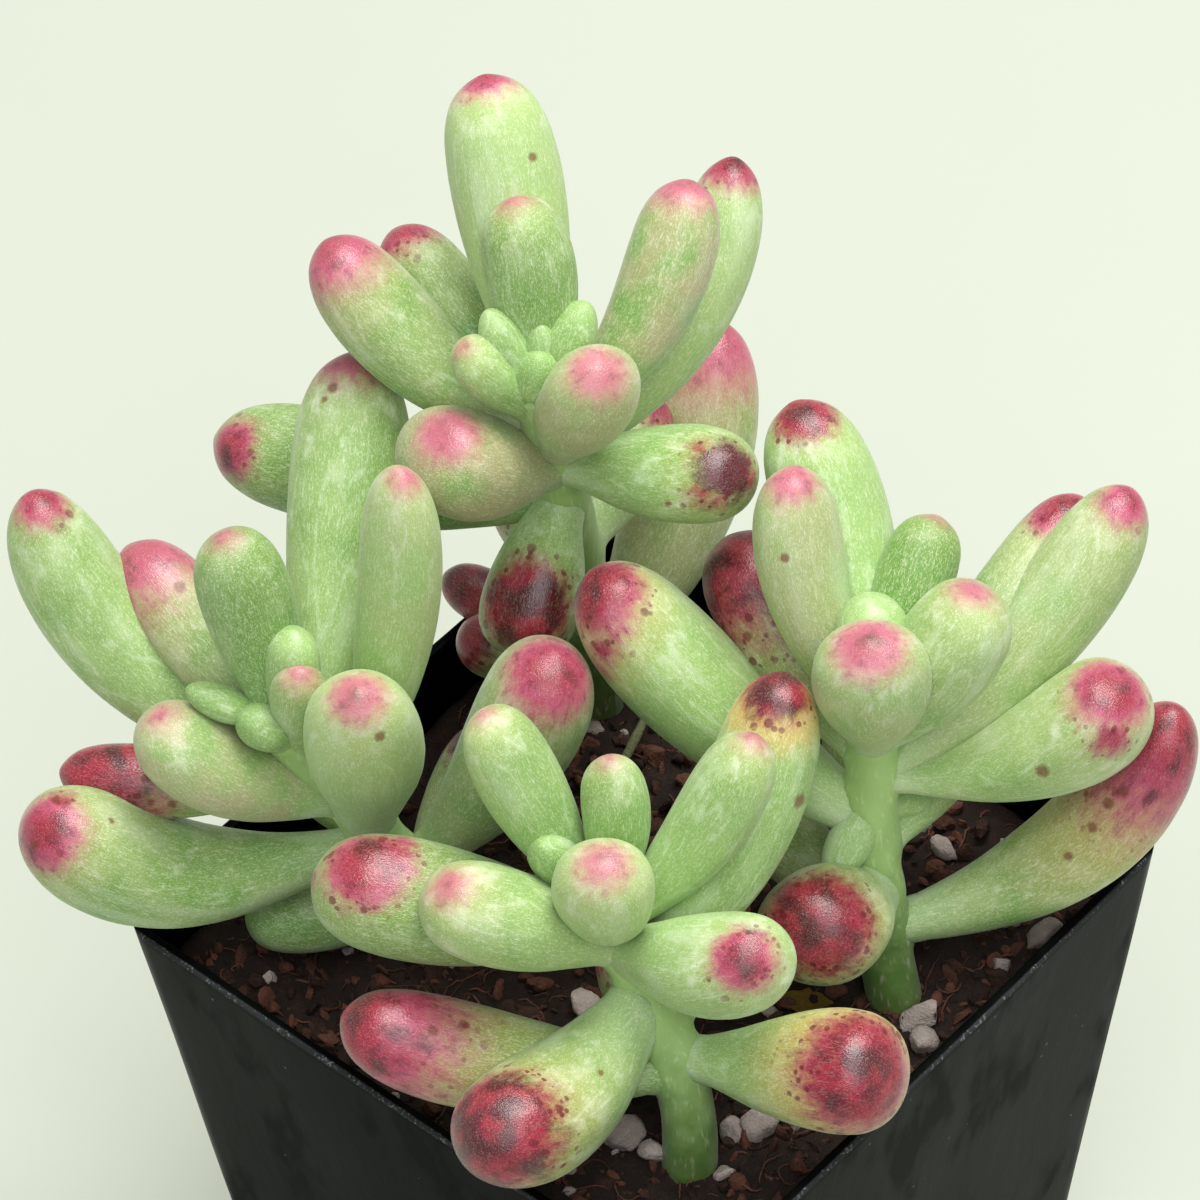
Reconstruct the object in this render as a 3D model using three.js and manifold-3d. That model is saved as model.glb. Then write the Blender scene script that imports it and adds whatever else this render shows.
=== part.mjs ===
// A potted salsa sedum: a square nursery pot of potting mix with four leafy stems.
// Millimetres, +Z up. The origin is the middle of the pot's flat underside.

import * as THREE from 'three';
import { mergeVertices } from 'three/addons/utils/BufferGeometryUtils.js';
import Module from 'manifold-3d';

const wasm = await Module();
wasm.setup();

// Pot: square, with POT_TOP and POT_BASE as its outer side lengths
const POT_HEIGHT = 57;
const POT_TOP = 57;
const POT_BASE = 46;
const POT_WALL = 1.0;
const POT_FLOOR = 1.2;
const CORNER_RADIUS = 3.5;
const CORNER_STEPS = 4;
const DRAIN_RADIUS = 3;
const DRAIN_OFFSET = 14;
const DRAIN_SIDES = 16;

// Potting mix
const MIX_LEVEL = 51;
const MIX_GAP = 0.3;
const MIX_CELLS = 13;
const MIX_ROUGHNESS = 0.9;
const MIX_SEED = 11;

// How far a cutting block runs past what it cuts
const OVERRUN = 1;

// Stems
const ROOT_DEPTH = 8;
const STEM_SIDES = 10;
const STEM_STEPS = 8;
const SOCKET_GAP = 0.35;

// Leaves: share of the length, then share of the half width there
const LEAF_PROFILE = [
  [0.0, 0.3],
  [0.08, 0.44],
  [0.24, 0.66],
  [0.42, 0.88],
  [0.6, 0.99],
  [0.75, 0.98],
  [0.87, 0.86],
  [0.95, 0.61],
];
const BUD_PROFILE = [
  [0.0, 0.35],
  [0.25, 0.75],
  [0.55, 1.0],
  [0.8, 0.82],
  [0.93, 0.5],
];
const LEAF_SIDES = 10;
const BUD_SIDES = 8;
const BUD_LENGTH = 9;
const LEAF_THICKNESS = 0.88;
const CLUB_PIVOT = 0.6;
const TANGENT_STEP = 0.01;

// Each stem runs from the mix (root) to its growing tip (top), pulled towards pull.
// A leaf is [height up the stem, turn, rise, length, width, bend, sweep, club]. Turn is
// the way its tip lies in plan, from +X towards +Y; rise is above the level; bend hollows
// its upper side and sweep bows it to the right. Angles are in degrees. Club thickens the
// tip and thins the base.
const STEMS = {
  leafy_stem_upper: {
    root: [-18, 15, MIX_LEVEL],
    pull: [-15.5, 12, 74],
    top: [-15, 7, 95],
    radius: [2.1, 1.6],
    leaves: [
      [41.2, 145, 54, 25.2, 8.4, 10, 7, 0.06],
      [42.1, 143, 64, 16.1, 6.7, 6, 15, -0.01],
      [38.1, -167, 34, 21.9, 7.5, 44, -12, 0.07],
      [39.6, 168, 17, 19.6, 6.7, 14, -1, -0.01],
      [38.2, 88, 43, 21.4, 6.7, 19, 39, 0.27],
      [35, 93, 31, 26, 6.6, 47, 32, 0.07],
      [4.5, 104, 42, 29, 9, 27, 28, -0.14],
      [34.3, 15, 17, 16.6, 7.9, 8, -6, 0.04],
      [35.7, -18, 64, 16.5, 7.4, 9, -7, 0.21],
      [33.6, -103, 38, 15.1, 8.9, 20, 2, 0.25],
      [30.6, -71, -40, 13.1, 7.7, 12, 11, 0.06],
      [41, -130, 54, 9.8, 4.8, 8, 0, 0],
      [43.6, -170, 58, 7.8, 3.8, 0, 0, 0],
      [43.6, 76, 54, 8.1, 4.3, 0, 0, 0],
      [42.8, -46, 81, 5.5, 3.8, 0, -1, 0],
      [44.2, 110, 72, 5.5, 2.6, 0, 0, 0],
      [29.2, -157, -3, 28.3, 8.9, 20, 2, 0.05],
      [8, -170, 5, 13.5, 4.7, 10, 0, 0],
      [5.5, -126, 30, 12, 5.6, 10, 0, 0],
      [27, 150, 5, 19, 7, 20, 0, 0],
      [22, 112, 0, 17, 6.5, 20, 0, 0],
      [16, 155, -5, 15, 6, 20, 0, 0],
    ],
  },
  leafy_stem_left: {
    root: [-11.5, -10.5, MIX_LEVEL],
    pull: [-15, -12.5, 64],
    top: [-21, -17, 75],
    radius: [2.1, 1.6],
    leaves: [
      [19.5, -172, 33, 30.5, 8.3, 71, -14, 0.12],
      [23.3, 173, 19, 20.4, 7.2, 10, -3, 0],
      [25.6, 165, 70, 16.8, 7, 14, 14, 0.02],
      [22.7, 120, 39, 29.8, 9, 11, 13, 0.02],
      [16.9, 88, 75, 30.3, 6.4, 14, 20, 0.12],
      [25, 78, 81, 10, 4.6, 0, 0, 0],
      [26.6, -140, 30, 7.1, 3, 1, -12, 0.05],
      [24.4, -102, 49, 5.7, 4.1, 3, 11, 0.13],
      [22.4, -41, 82, 10.8, 4.4, 4, 8, -0.03],
      [13.5, -44, 75, 21.5, 8.9, -5, -2, -0.13],
      [16.8, -132, 38, 17.8, 7.6, 45, -4, 0.08],
      [12.1, -128, 19, 26.9, 9.3, 73, -4, 0.48],
      [20.6, -142, -3, 19.6, 5.8, 26, -7, 0.04],
      [4.1, -132, 2, 13.6, 5.8, 20, -4, 0],
      [7.5, 50, 61, 25.8, 8.8, 22, 13, 0.48],
      [10, 165, 5, 16, 6.5, 15, 0, 0],
      [6, 105, 12, 15, 6, 15, 0, 0],
    ],
  },
  leafy_stem_right: {
    root: [18.5, 7, MIX_LEVEL],
    pull: [14, 8.5, 66],
    top: [12, 13.5, 80.5],
    radius: [2.1, 1.6],
    leaves: [
      [25.2, 148, 40, 23.3, 8.4, 13, 16, -0.08],
      [23.9, 161, 60, 20.9, 6.7, 16, -34, 0.11],
      [28, 100, 41, 12.5, 5.8, 9, -1, -0.08],
      [23.6, 86, 17, 23.9, 6.1, 23, 14, 0.19],
      [19.2, 78, 31, 28.8, 7.6, 37, 13, 0.06],
      [22.7, 50, 58, 16.2, 8.7, 4, 9, -0.04],
      [22.4, -53, 76, 15.2, 8.6, 8, -7, 0.12],
      [28.6, -146, 86, 6.8, 6.3, -2, 0, -0.04],
      [29.5, 53, 63, 4.5, 2.2, 0, 0, 0],
      [19.3, 44, 24, 21.1, 8.4, 64, 4, 0.78],
      [6, 56, 37, 28.5, 8.2, 71, 9, 0.01],
      [9.4, -82, 25, 12.8, 9.7, 8, 7, -0.17],
      [16.5, 79, -29, 8, 2.6, 0, 0, 0],
      [17.5, -84, -35, 7, 3.3, 0, 0, 0],
      [15.2, -163, 40, 28.9, 9.2, 27, -5, 0.04],
      [21.1, 167, 27, 19.7, 8.3, 14, 0, 0.04],
      [12, 133, 10, 16, 6.5, 15, 0, 0],
      [7, 175, 4, 15, 6, 15, 0, 0],
      [13, 98, 6, 16, 6.5, 15, 0, 0],
    ],
  },
  leafy_stem_front: {
    root: [17, -15, MIX_LEVEL],
    pull: [17, -13.5, 65],
    top: [2.5, -11.5, 70.5],
    radius: [2.1, 1.6],
    leaves: [
      [23.5, -172, 62, 17.5, 6.5, 9, 7, -0.04],
      [22, 117, 71, 13.2, 5, 10, 32, 0.12],
      [19.2, -127, 33, 16.6, 8.1, 7, 6, -0.06],
      [20.5, -51, 73, 12.5, 7.6, 11, 4, 0.01],
      [24.9, -92, 66, 7.6, 4.2, 0, 0, 0],
      [20.7, 64, 52, 19.5, 6.3, 25, 13, 0.14],
      [16.3, 96, 39, 24.7, 8.2, 29, 23, -0.12],
      [19.2, 2, 32, 17.3, 8.5, 23, 8, -0.08],
      [15.6, -89, 3, 19.1, 9.9, 73, -4, -0.07],
      [10, 22, 13, 17.8, 9.1, 16, -5, 0.49],
      [8.7, -141, 14, 25.1, 8, 27, -13, 0.04],
      [20.8, -143, 12, 21.9, 9.6, 14, 0, 0],
      [6, 150, 18, 15, 6, 15, 0, 0],
      [12, 112, 6, 14, 6, 15, 0, 0],
    ],
  },
};

const COLOURS = {
  pot: { color: 0x15161a, roughness: 0.3, metalness: 0 },
  mix: { color: 0x2c1c16, roughness: 0.95, metalness: 0 },
  leaf: { color: 0x9dbb6c, roughness: 0.5, metalness: 0 },
};

const UP = new THREE.Vector3(0, 0, 1);

function seededRandom(seed) {
  const multiplier = 16807;
  const modulus = 2147483647;
  let state = seed;
  return () => {
    state = (state * multiplier) % modulus;
    return state / modulus;
  };
}

// A closed skin over rings of points, fanned shut at each end about one point.
function skin(rings, first, last) {
  const sides = rings[0].length;
  const points = [...rings.flat(), first, last];
  const index = [];
  for (let ring = 0; ring < rings.length - 1; ring++) {
    for (let k = 0; k < sides; k++) {
      const a = ring * sides + k;
      const b = ring * sides + ((k + 1) % sides);
      index.push(a, b, b + sides, a, b + sides, a + sides);
    }
  }
  const firstIndex = points.length - 2;
  const lastIndex = points.length - 1;
  const lastRing = (rings.length - 1) * sides;
  for (let k = 0; k < sides; k++) {
    const next = (k + 1) % sides;
    index.push(firstIndex, next, k, lastIndex, lastRing + k, lastRing + next);
  }
  const geometry = new THREE.BufferGeometry();
  geometry.setAttribute(
    'position',
    new THREE.Float32BufferAttribute(points.flatMap((p) => p.toArray()), 3),
  );
  geometry.setIndex(index);
  return geometry;
}

function toSolid(geometry) {
  const bare = geometry.clone();
  bare.deleteAttribute('normal');
  bare.deleteAttribute('uv');
  const merged = mergeVertices(bare);
  return new wasm.Manifold(
    new wasm.Mesh({
      numProp: 3,
      vertProperties: new Float32Array(merged.attributes.position.array),
      triVerts: new Uint32Array(merged.index.array),
    }),
  );
}

function toGeometry(solid) {
  const mesh = solid.getMesh();
  const geometry = new THREE.BufferGeometry();
  geometry.setAttribute('position', new THREE.BufferAttribute(mesh.vertProperties, 3));
  geometry.setIndex(new THREE.BufferAttribute(mesh.triVerts, 1));
  geometry.computeVertexNormals();
  return geometry;
}

function namedMesh(name, solid, colour) {
  const mesh = new THREE.Mesh(toGeometry(solid), new THREE.MeshStandardMaterial(colour));
  mesh.name = name;
  return mesh;
}

// Pot and potting mix

function roundedSquare(side, radius, z) {
  const points = [];
  const inset = side / 2 - radius;
  for (let corner = 0; corner < 4; corner++) {
    const turn = (corner * Math.PI) / 2;
    const centre = new THREE.Vector3(inset, inset, z).applyAxisAngle(UP, turn);
    for (let step = 0; step <= CORNER_STEPS; step++) {
      const angle = turn + (step / CORNER_STEPS) * (Math.PI / 2);
      const offset = new THREE.Vector3(Math.cos(angle), Math.sin(angle), 0);
      points.push(centre.clone().addScaledVector(offset, radius));
    }
  }
  return points;
}

// The pot's side length at height z, moved in from its outer face by inset.
function potSide(z, inset) {
  return POT_BASE + ((POT_TOP - POT_BASE) * z) / POT_HEIGHT - 2 * inset;
}

function taperedBlock(bottom, top, inset) {
  const radius = CORNER_RADIUS - inset;
  const rings = [bottom, top].map((z) => roundedSquare(potSide(z, inset), radius, z));
  const middles = [bottom, top].map((z) => new THREE.Vector3(0, 0, z));
  return toSolid(skin(rings, ...middles));
}

function pot() {
  let solid = taperedBlock(0, POT_HEIGHT, 0);
  solid = solid.subtract(taperedBlock(POT_FLOOR, POT_HEIGHT + OVERRUN, POT_WALL));
  for (const [sx, sy] of [[1, 1], [-1, 1], [-1, -1], [1, -1]]) {
    const length = 2 * (POT_FLOOR + OVERRUN);
    const drain = new THREE.CylinderGeometry(DRAIN_RADIUS, DRAIN_RADIUS, length, DRAIN_SIDES);
    drain.rotateX(Math.PI / 2);
    drain.translate(sx * DRAIN_OFFSET, sy * DRAIN_OFFSET, 0);
    solid = solid.subtract(toSolid(drain));
  }
  return solid;
}

// The air above the mix: a block whose underside is the mix's lumpy surface.
function airBlock() {
  const random = seededRandom(MIX_SEED);
  const side = POT_TOP + 2 * OVERRUN;
  const height = POT_HEIGHT - MIX_LEVEL;
  const geometry = new THREE.BoxGeometry(side, side, height, MIX_CELLS, MIX_CELLS, 1);
  geometry.deleteAttribute('normal');
  geometry.deleteAttribute('uv');
  const merged = mergeVertices(geometry.translate(0, 0, MIX_LEVEL + height / 2));
  const position = merged.attributes.position;
  for (let i = 0; i < position.count; i++) {
    if (position.getZ(i) > MIX_LEVEL) continue;
    position.setZ(i, MIX_LEVEL + (2 * random() - 1) * MIX_ROUGHNESS);
  }
  return toSolid(merged);
}

function pottingMix(stems) {
  const top = MIX_LEVEL + MIX_ROUGHNESS + OVERRUN;
  let solid = taperedBlock(POT_FLOOR + MIX_GAP, top, POT_WALL + MIX_GAP);
  solid = solid.subtract(airBlock());
  for (const stem of stems) solid = solid.subtract(stemTube(stem, SOCKET_GAP));
  return solid;
}

// Leafy stems

function stemCurve(stem) {
  return new THREE.QuadraticBezierCurve3(
    new THREE.Vector3(...stem.root),
    new THREE.Vector3(...stem.pull),
    new THREE.Vector3(...stem.top),
  );
}

// A ring of points about a centre, square to along, with level as one of its axes.
function ringAbout(centre, along, level, halfWidth, halfThickness, sides) {
  const side = level.clone().addScaledVector(along, -level.dot(along)).normalize();
  const above = new THREE.Vector3().crossVectors(side, along);
  const points = [];
  for (let k = 0; k < sides; k++) {
    const angle = (k / sides) * 2 * Math.PI;
    points.push(
      centre
        .clone()
        .addScaledVector(side, halfWidth * Math.cos(angle))
        .addScaledVector(above, -halfThickness * Math.sin(angle)),
    );
  }
  return points;
}

function stemTube(stem, gap) {
  const curve = stemCurve(stem);
  const level = new THREE.Vector3(1, 0, 0);
  const down = curve.getTangent(0).negate();
  const foot = curve.getPoint(0).addScaledVector(down, ROOT_DEPTH + gap);
  const spots = [[foot, curve.getTangent(0), stem.radius[0]]];
  for (let step = 0; step <= STEM_STEPS; step++) {
    const t = step / STEM_STEPS;
    const radius = THREE.MathUtils.lerp(stem.radius[0], stem.radius[1], t);
    spots.push([curve.getPoint(t), curve.getTangent(t), radius]);
  }
  const rings = spots.map(([centre, along, radius]) =>
    ringAbout(centre, along, level, radius + gap, radius + gap, STEM_SIDES),
  );
  return toSolid(skin(rings, foot, curve.getPoint(1)));
}

function leafSolid(curve, [height, turn, rise, length, width, bend, sweep, club]) {
  const [yaw, pitch, hollow, bow] = [turn, rise, bend, sweep].map(THREE.MathUtils.degToRad);
  const base = curve.getPointAt(height / curve.getLength());
  const along = new THREE.Vector3(
    Math.cos(yaw) * Math.cos(pitch),
    Math.sin(yaw) * Math.cos(pitch),
    Math.sin(pitch),
  );
  const level = new THREE.Vector3(Math.sin(yaw), -Math.cos(yaw), 0);
  const above = new THREE.Vector3().crossVectors(level, along);
  // The centre line is a parabola whose chord runs along from the base to the tip.
  const centreAt = (s) =>
    base
      .clone()
      .addScaledVector(along, s * length)
      .addScaledVector(above, -Math.tan(hollow / 2) * s * (1 - s) * length)
      .addScaledVector(level, Math.tan(bow / 2) * s * (1 - s) * length);
  const tangentAt = (s) =>
    centreAt(s + TANGENT_STEP)
      .sub(centreAt(s - TANGENT_STEP))
      .normalize();
  const isBud = length < BUD_LENGTH;
  const sides = isBud ? BUD_SIDES : LEAF_SIDES;
  const rings = (isBud ? BUD_PROFILE : LEAF_PROFILE).map(([s, share]) => {
    const half = ((share * width) / 2) * (1 + club * (s - CLUB_PIVOT));
    return ringAbout(centreAt(s), tangentAt(s), level, half, half * LEAF_THICKNESS, sides);
  });
  return toSolid(skin(rings, centreAt(0), centreAt(1)));
}

function leafyStem(stem) {
  const curve = stemCurve(stem);
  return stem.leaves.reduce(
    (solid, leaf) => solid.add(leafSolid(curve, leaf)),
    stemTube(stem, 0),
  );
}

const sedum = new THREE.Group();
sedum.add(namedMesh('pot', pot(), COLOURS.pot));
sedum.add(namedMesh('potting_mix', pottingMix(Object.values(STEMS)), COLOURS.mix));
for (const [name, stem] of Object.entries(STEMS)) {
  sedum.add(namedMesh(name, leafyStem(stem), COLOURS.leaf));
}

export default sedum;
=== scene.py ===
"""The looks of a potted salsa sedum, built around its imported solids.

It is laid out as an add-on and run as a script. Each operator makes one piece or one group of
like pieces, and main() calls them in order. The tables below are in millimetres and degrees,
unless they say otherwise.
"""

import math
from collections import namedtuple

import bmesh
import bpy
import numpy as np
from bpy.props import FloatProperty, FloatVectorProperty, IntProperty, PointerProperty
from mathutils import Matrix, Vector, noise


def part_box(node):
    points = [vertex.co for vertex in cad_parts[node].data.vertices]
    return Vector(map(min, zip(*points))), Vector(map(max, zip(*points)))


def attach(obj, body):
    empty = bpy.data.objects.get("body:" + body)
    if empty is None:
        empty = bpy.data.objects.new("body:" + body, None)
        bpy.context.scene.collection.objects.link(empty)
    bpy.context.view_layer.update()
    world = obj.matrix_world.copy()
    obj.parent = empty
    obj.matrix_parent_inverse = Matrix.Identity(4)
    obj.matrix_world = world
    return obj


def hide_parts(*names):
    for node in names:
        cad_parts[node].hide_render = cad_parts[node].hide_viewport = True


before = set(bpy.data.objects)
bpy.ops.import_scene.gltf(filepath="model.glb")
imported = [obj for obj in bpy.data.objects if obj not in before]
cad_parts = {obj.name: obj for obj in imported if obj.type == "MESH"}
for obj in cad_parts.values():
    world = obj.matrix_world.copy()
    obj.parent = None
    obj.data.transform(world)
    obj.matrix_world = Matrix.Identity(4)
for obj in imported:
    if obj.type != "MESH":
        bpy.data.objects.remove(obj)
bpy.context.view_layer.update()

bl_info = {
    "name": "Potted Salsa Sedum",
    "version": (1, 0, 0),
    "blender": (4, 5, 0),
    "location": "3D View > Sidebar > Sedum",
    "description": "Builds a club-leaved sedum in a square nursery pot",
    "category": "Object",
}

MM = 0.001

# Pot and potting mix, as in the solids
POT_LOW, POT_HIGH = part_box("pot")
MIX_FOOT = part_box("potting_mix")[0].z / MM
RIM_SIDE = (POT_HIGH.x - POT_LOW.x) / MM
POT_HEIGHT = (POT_HIGH.z - POT_LOW.z) / MM
POT_WALL = 1.0
POT_TAPER = 11.0
POT_FLOOR = 1.2
POT_FOOT_ROUNDING = 0.6
POT_INNER_ROUNDING = 1.2
LEAST_CORNER = 0.8
DRAIN_RADIUS = 3.0
DRAIN_OFFSET = 14.0
DRAIN_CUT = 6.0
MIX_LEVEL = 51.0
MIX_GAP = 0.3
MIX_CORNER = 2.2

# Where the wall's even rings begin and end: above the foot, below the rim, above the floor
POT_FOOT_CLEAR = 2.5
POT_RIM_CLEAR = 0.6
POT_FLOOR_CLEAR = 1.6
MIX_SHOULDER = 3.0

# How finely they are drawn: points round a corner, points along a side, and rings
POT_CORNER_STEPS = 12
POT_SIDE_STEPS = 22
POT_OUTER_RINGS = 30
POT_INNER_RINGS = 24
ROUNDING_RINGS = 6
DRAIN_SIDES = 40
MIX_CORNER_STEPS = 8
MIX_SIDE_STEPS = 40
MIX_RINGS = 70
MIX_SIDE_RINGS = 6

# Waves in the pot's wall: share, rate across, rate up, and where in the noise they start;
# there are none at the foot, and they are full size from two thirds of the height up
POT_WAVES = [(1.0, 0.035, 0.03, 7), (0.4, 0.12, 0.05, 31)]
WAVE_GROWTH = 1.5

# Lumps on the mix: height, rate, and where in the noise they start
MIX_LUMPS = [(0.7, 0.16, 3.0), (0.55, 0.55, 9.0), (0.35, 1.4, 15.0), (0.2, 3.1, 21.0)]
MIX_SINK = 0.1

# How far from the wall the middles of crumbs, and the starts and ends of fibres, stay
CRUMB_MARGIN = 2.2
FIBRE_MARGIN = 2.0
FIBRE_END_MARGIN = 0.8

# Seeds of the random draws
CHIP_SEED = 5
FIBRE_SEED = 23
PERLITE_SEED = 41
STEM_SEED = 70

# The camera, fitted to the pot's rim in the photograph
CAMERA_AZIMUTH = 43.15
CAMERA_ELEVATION = 47.53
CAMERA_ROLL = 3.07
CAMERA_DISTANCE = 500.0
CAMERA_TARGET = (-13.289, 10.863, 69.573)
CAMERA_FOCAL_PIXELS = 6572.9
PHOTO_PIXELS = 1200
SENSOR_WIDTH = 36.0

# The lights and the floor, in metres; a softbox is its azimuth, elevation, size and tint
SOFTBOXES = {
    "key_light": (190, 72, 0.34, (1.0, 0.99, 0.96)),
    "fill_light": (50, 60, 0.45, (0.95, 0.98, 1.0)),
}
LIGHT_DISTANCE = 0.6
LIGHT_AIM = (0, 0, 0.07)
SKY_TINT = (0.93, 0.97, 0.92, 1.0)
FLOOR_HALF = 1.2

# A leaf is its height up the stem, turn, rise, length, width, bend, sweep and club, as in the
# solids, and then its colour: how far the red reaches from the tip, the red's ripeness from
# young pink to old wine, the gold around it, the blush over the body, and the green's tone
# from dark to pale. The tone also holds painted shade and painted light: it is low on leaves
# that lie in shadow, and high on some that face down. Patches are more red: share of the
# length, angle around, reach, ripeness. Scars are small brown dots: share of the length, angle
# around, radius.
LEAF_FIELDS = (
    "height turn rise length width bend sweep club "
    "reach ripeness gold blush tone patches scars"
)
Leaf = namedtuple("Leaf", LEAF_FIELDS, defaults=((), ()))
Stem = namedtuple("Stem", "root pull top leaves")

UPPER_LEAVES = [
    Leaf(41.2, 145, 54, 25.2, 8.4, 10, 7, 0.06, 2.6, 0.45, 0.09, 0.05, 0.75, scars=[(0.76, 296, 0.35)]),
    Leaf(42.1, 143, 64, 16.1, 6.7, 6, 15, -0.01, 1.6, 0.1, 0.09, 0.05, -0.35),
    Leaf(38.1, -167, 34, 21.9, 7.5, 44, -12, 0.07, 4.6, 0.35, 0.12, 0.25, -0.1),
    Leaf(39.6, 168, 17, 19.6, 6.7, 14, -1, -0.01, 3.8, 0.6, 0.03, 0.2, -0.7),
    Leaf(38.2, 88, 43, 21.4, 6.7, 19, 39, 0.27, 3.2, 0.2, 0.05, 0.65, -0.1),
    Leaf(35, 93, 31, 26, 6.6, 47, 32, 0.07, 3.2, 0.55, 0.03, 0.1, 0.5),
    Leaf(4.5, 104, 42, 29, 9, 27, 28, -0.14, 7, 0.3, 0.2, 0.45, 0.0),
    Leaf(
        34.3, 15, 17, 16.6, 7.9, 8, -6, 0.04, 1.2, 1, 0.16, 0, -0.15,
        patches=[
            (0.96, 294, 2.6, 1.7), (0.82, 276, 0.8, 0.9), (0.87, 340, 0.9, 0.9), (0.94, 354, 0.7, 0.9),
        ],
        scars=[(0.71, 348, 0.25)],
    ),
    Leaf(
        35.7, -18, 64, 16.5, 7.4, 9, -7, 0.21, 0, 0.1, 0.03, 0.45, 0.2,
        patches=[(1.0, 314, 2.6, 0.1)],
    ),
    Leaf(
        33.6, -103, 38, 15.1, 8.9, 20, 2, 0.25, 0, 0.15, 0.02, 0.6, -0.8,
        patches=[(0.96, 262, 2.7, 0.2)],
    ),
    Leaf(
        30.6, -71, -40, 13.1, 7.7, 12, 11, 0.06, 1.5, 0.95, 0.07, 0, -0.1,
        patches=[(0.73, 264, 3.9, 0.95)],
    ),
    Leaf(41, -130, 54, 9.8, 4.8, 8, 0, 0, 0.9, 0.1, 0.12, 0, -0.1),
    Leaf(43.6, -170, 58, 7.8, 3.8, 0, 0, 0, 0, 0, 0.07, 0, 0.1),
    Leaf(43.6, 76, 54, 8.1, 4.3, 0, 0, 0, 0, 0, 0.09, 0, 0.1),
    Leaf(42.8, -46, 81, 5.5, 3.8, 0, -1, 0, 0, 0, 0.05, 0, 0),
    Leaf(44.2, 110, 72, 5.5, 2.6, 0, 0, 0, 0, 0, 0.03, 0, 0.1),
    Leaf(
        29.2, -157, -3, 28.3, 8.9, 20, 2, 0.05, 0, 0.6, 0.05, 0.1, -0.7,
        patches=[(0.94, 224, 2.6, 0.55)],
    ),
    Leaf(8, -170, 5, 13.5, 4.7, 10, 0, 0, 8, 0.8, 0.14, 0.3, 0),
    Leaf(5.5, -126, 30, 12, 5.6, 10, 0, 0, 3, 0.8, 0.07, 0.1, -0.4),
    Leaf(27, 150, 5, 19, 7, 20, 0, 0, 4.5, 0.6, 0.1, 0.1, -0.1),
    Leaf(22, 112, 0, 17, 6.5, 20, 0, 0, 5, 0.7, 0.14, 0.1, 0),
    Leaf(16, 155, -5, 15, 6, 20, 0, 0, 6, 0.8, 0.17, 0.2, 0),
]

LEFT_LEAVES = [
    Leaf(
        19.5, -172, 33, 30.5, 8.3, 71, -14, 0.12, 0, 0.5, 0.05, 0.05, 0.05,
        patches=[(0.99, 262, 2.4, 0.55)],
    ),
    Leaf(23.3, 173, 19, 20.4, 7.2, 10, -3, 0, 7, 0.3, 0.1, 0.3, -0.2, scars=[(0.72, 270, 0.5)]),
    Leaf(25.6, 165, 70, 16.8, 7, 14, 14, 0.02, 1.4, 0.05, 0.07, 0.05, -0.6),
    Leaf(
        22.7, 120, 39, 29.8, 9, 11, 13, 0.02, 3.8, 0.4, 0.1, 0.05, 0,
        scars=[(0.91, 252, 0.42), (0.88, 244, 0.22)],
    ),
    Leaf(
        16.9, 88, 75, 30.3, 6.4, 14, 20, 0.12, 0, 0.2, 0.05, 0.2, 0.75,
        patches=[(0.99, 356, 1.7, 0.15)],
    ),
    Leaf(25, 78, 81, 10, 4.6, 0, 0, 0, 0, 0, 0.03, 0, 0.1),
    Leaf(26.6, -140, 30, 7.1, 3, 1, -12, 0.05, 0, 0, 0.9, 0, 0.1),
    Leaf(24.4, -102, 49, 5.7, 4.1, 3, 11, 0.13, 0, 0, 0.03, 0, 0.1),
    Leaf(22.4, -41, 82, 10.8, 4.4, 4, 8, -0.03, 1.6, 0, 0.1, 0.15, 0.1),
    Leaf(
        13.5, -44, 75, 21.5, 8.9, -5, -2, -0.13, 0, 0.15, 0.05, 0.1, 0.95,
        patches=[(1.0, 176, 2.6, 0.2)],
        scars=[(0.91, 114, 0.42)],
    ),
    Leaf(
        16.8, -132, 38, 17.8, 7.6, 45, -4, 0.08, 0, 0.1, 0.02, 0.6, 0.3,
        patches=[(0.99, 290, 1.3, 0.15)],
    ),
    Leaf(
        12.1, -128, 19, 26.9, 9.3, 73, -4, 0.48, 0, 0.55, 0.14, 0.15, -0.3,
        patches=[(0.99, 196, 3.4, 0.5), (0.97, 158, 1.6, 0.75), (0.98, 286, 1.4, 0.7)],
        scars=[(0.98, 294, 0.3), (0.86, 258, 0.2), (0.98, 160, 0.3)],
    ),
    Leaf(
        20.6, -142, -3, 19.6, 5.8, 26, -7, 0.04, 9, 0.7, 0.1, 0.3, -0.2,
        scars=[(0.56, 194, 0.32), (0.64, 198, 0.25)],
    ),
    Leaf(4.1, -132, 2, 13.6, 5.8, 20, -4, 0, 0, 0, 0.03, 0.1, -0.6),
    Leaf(
        7.5, 50, 61, 25.8, 8.8, 22, 13, 0.48, 0, 0.4, 0.05, 0.25, -0.1,
        patches=[(0.98, 340, 4.1, 0.45)],
    ),
    Leaf(10, 165, 5, 16, 6.5, 15, 0, 0, 5, 0.7, 0.14, 0.2, -0.1),
    Leaf(6, 105, 12, 15, 6, 15, 0, 0, 5, 0.75, 0.1, 0.3, -0.2),
]

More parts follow.
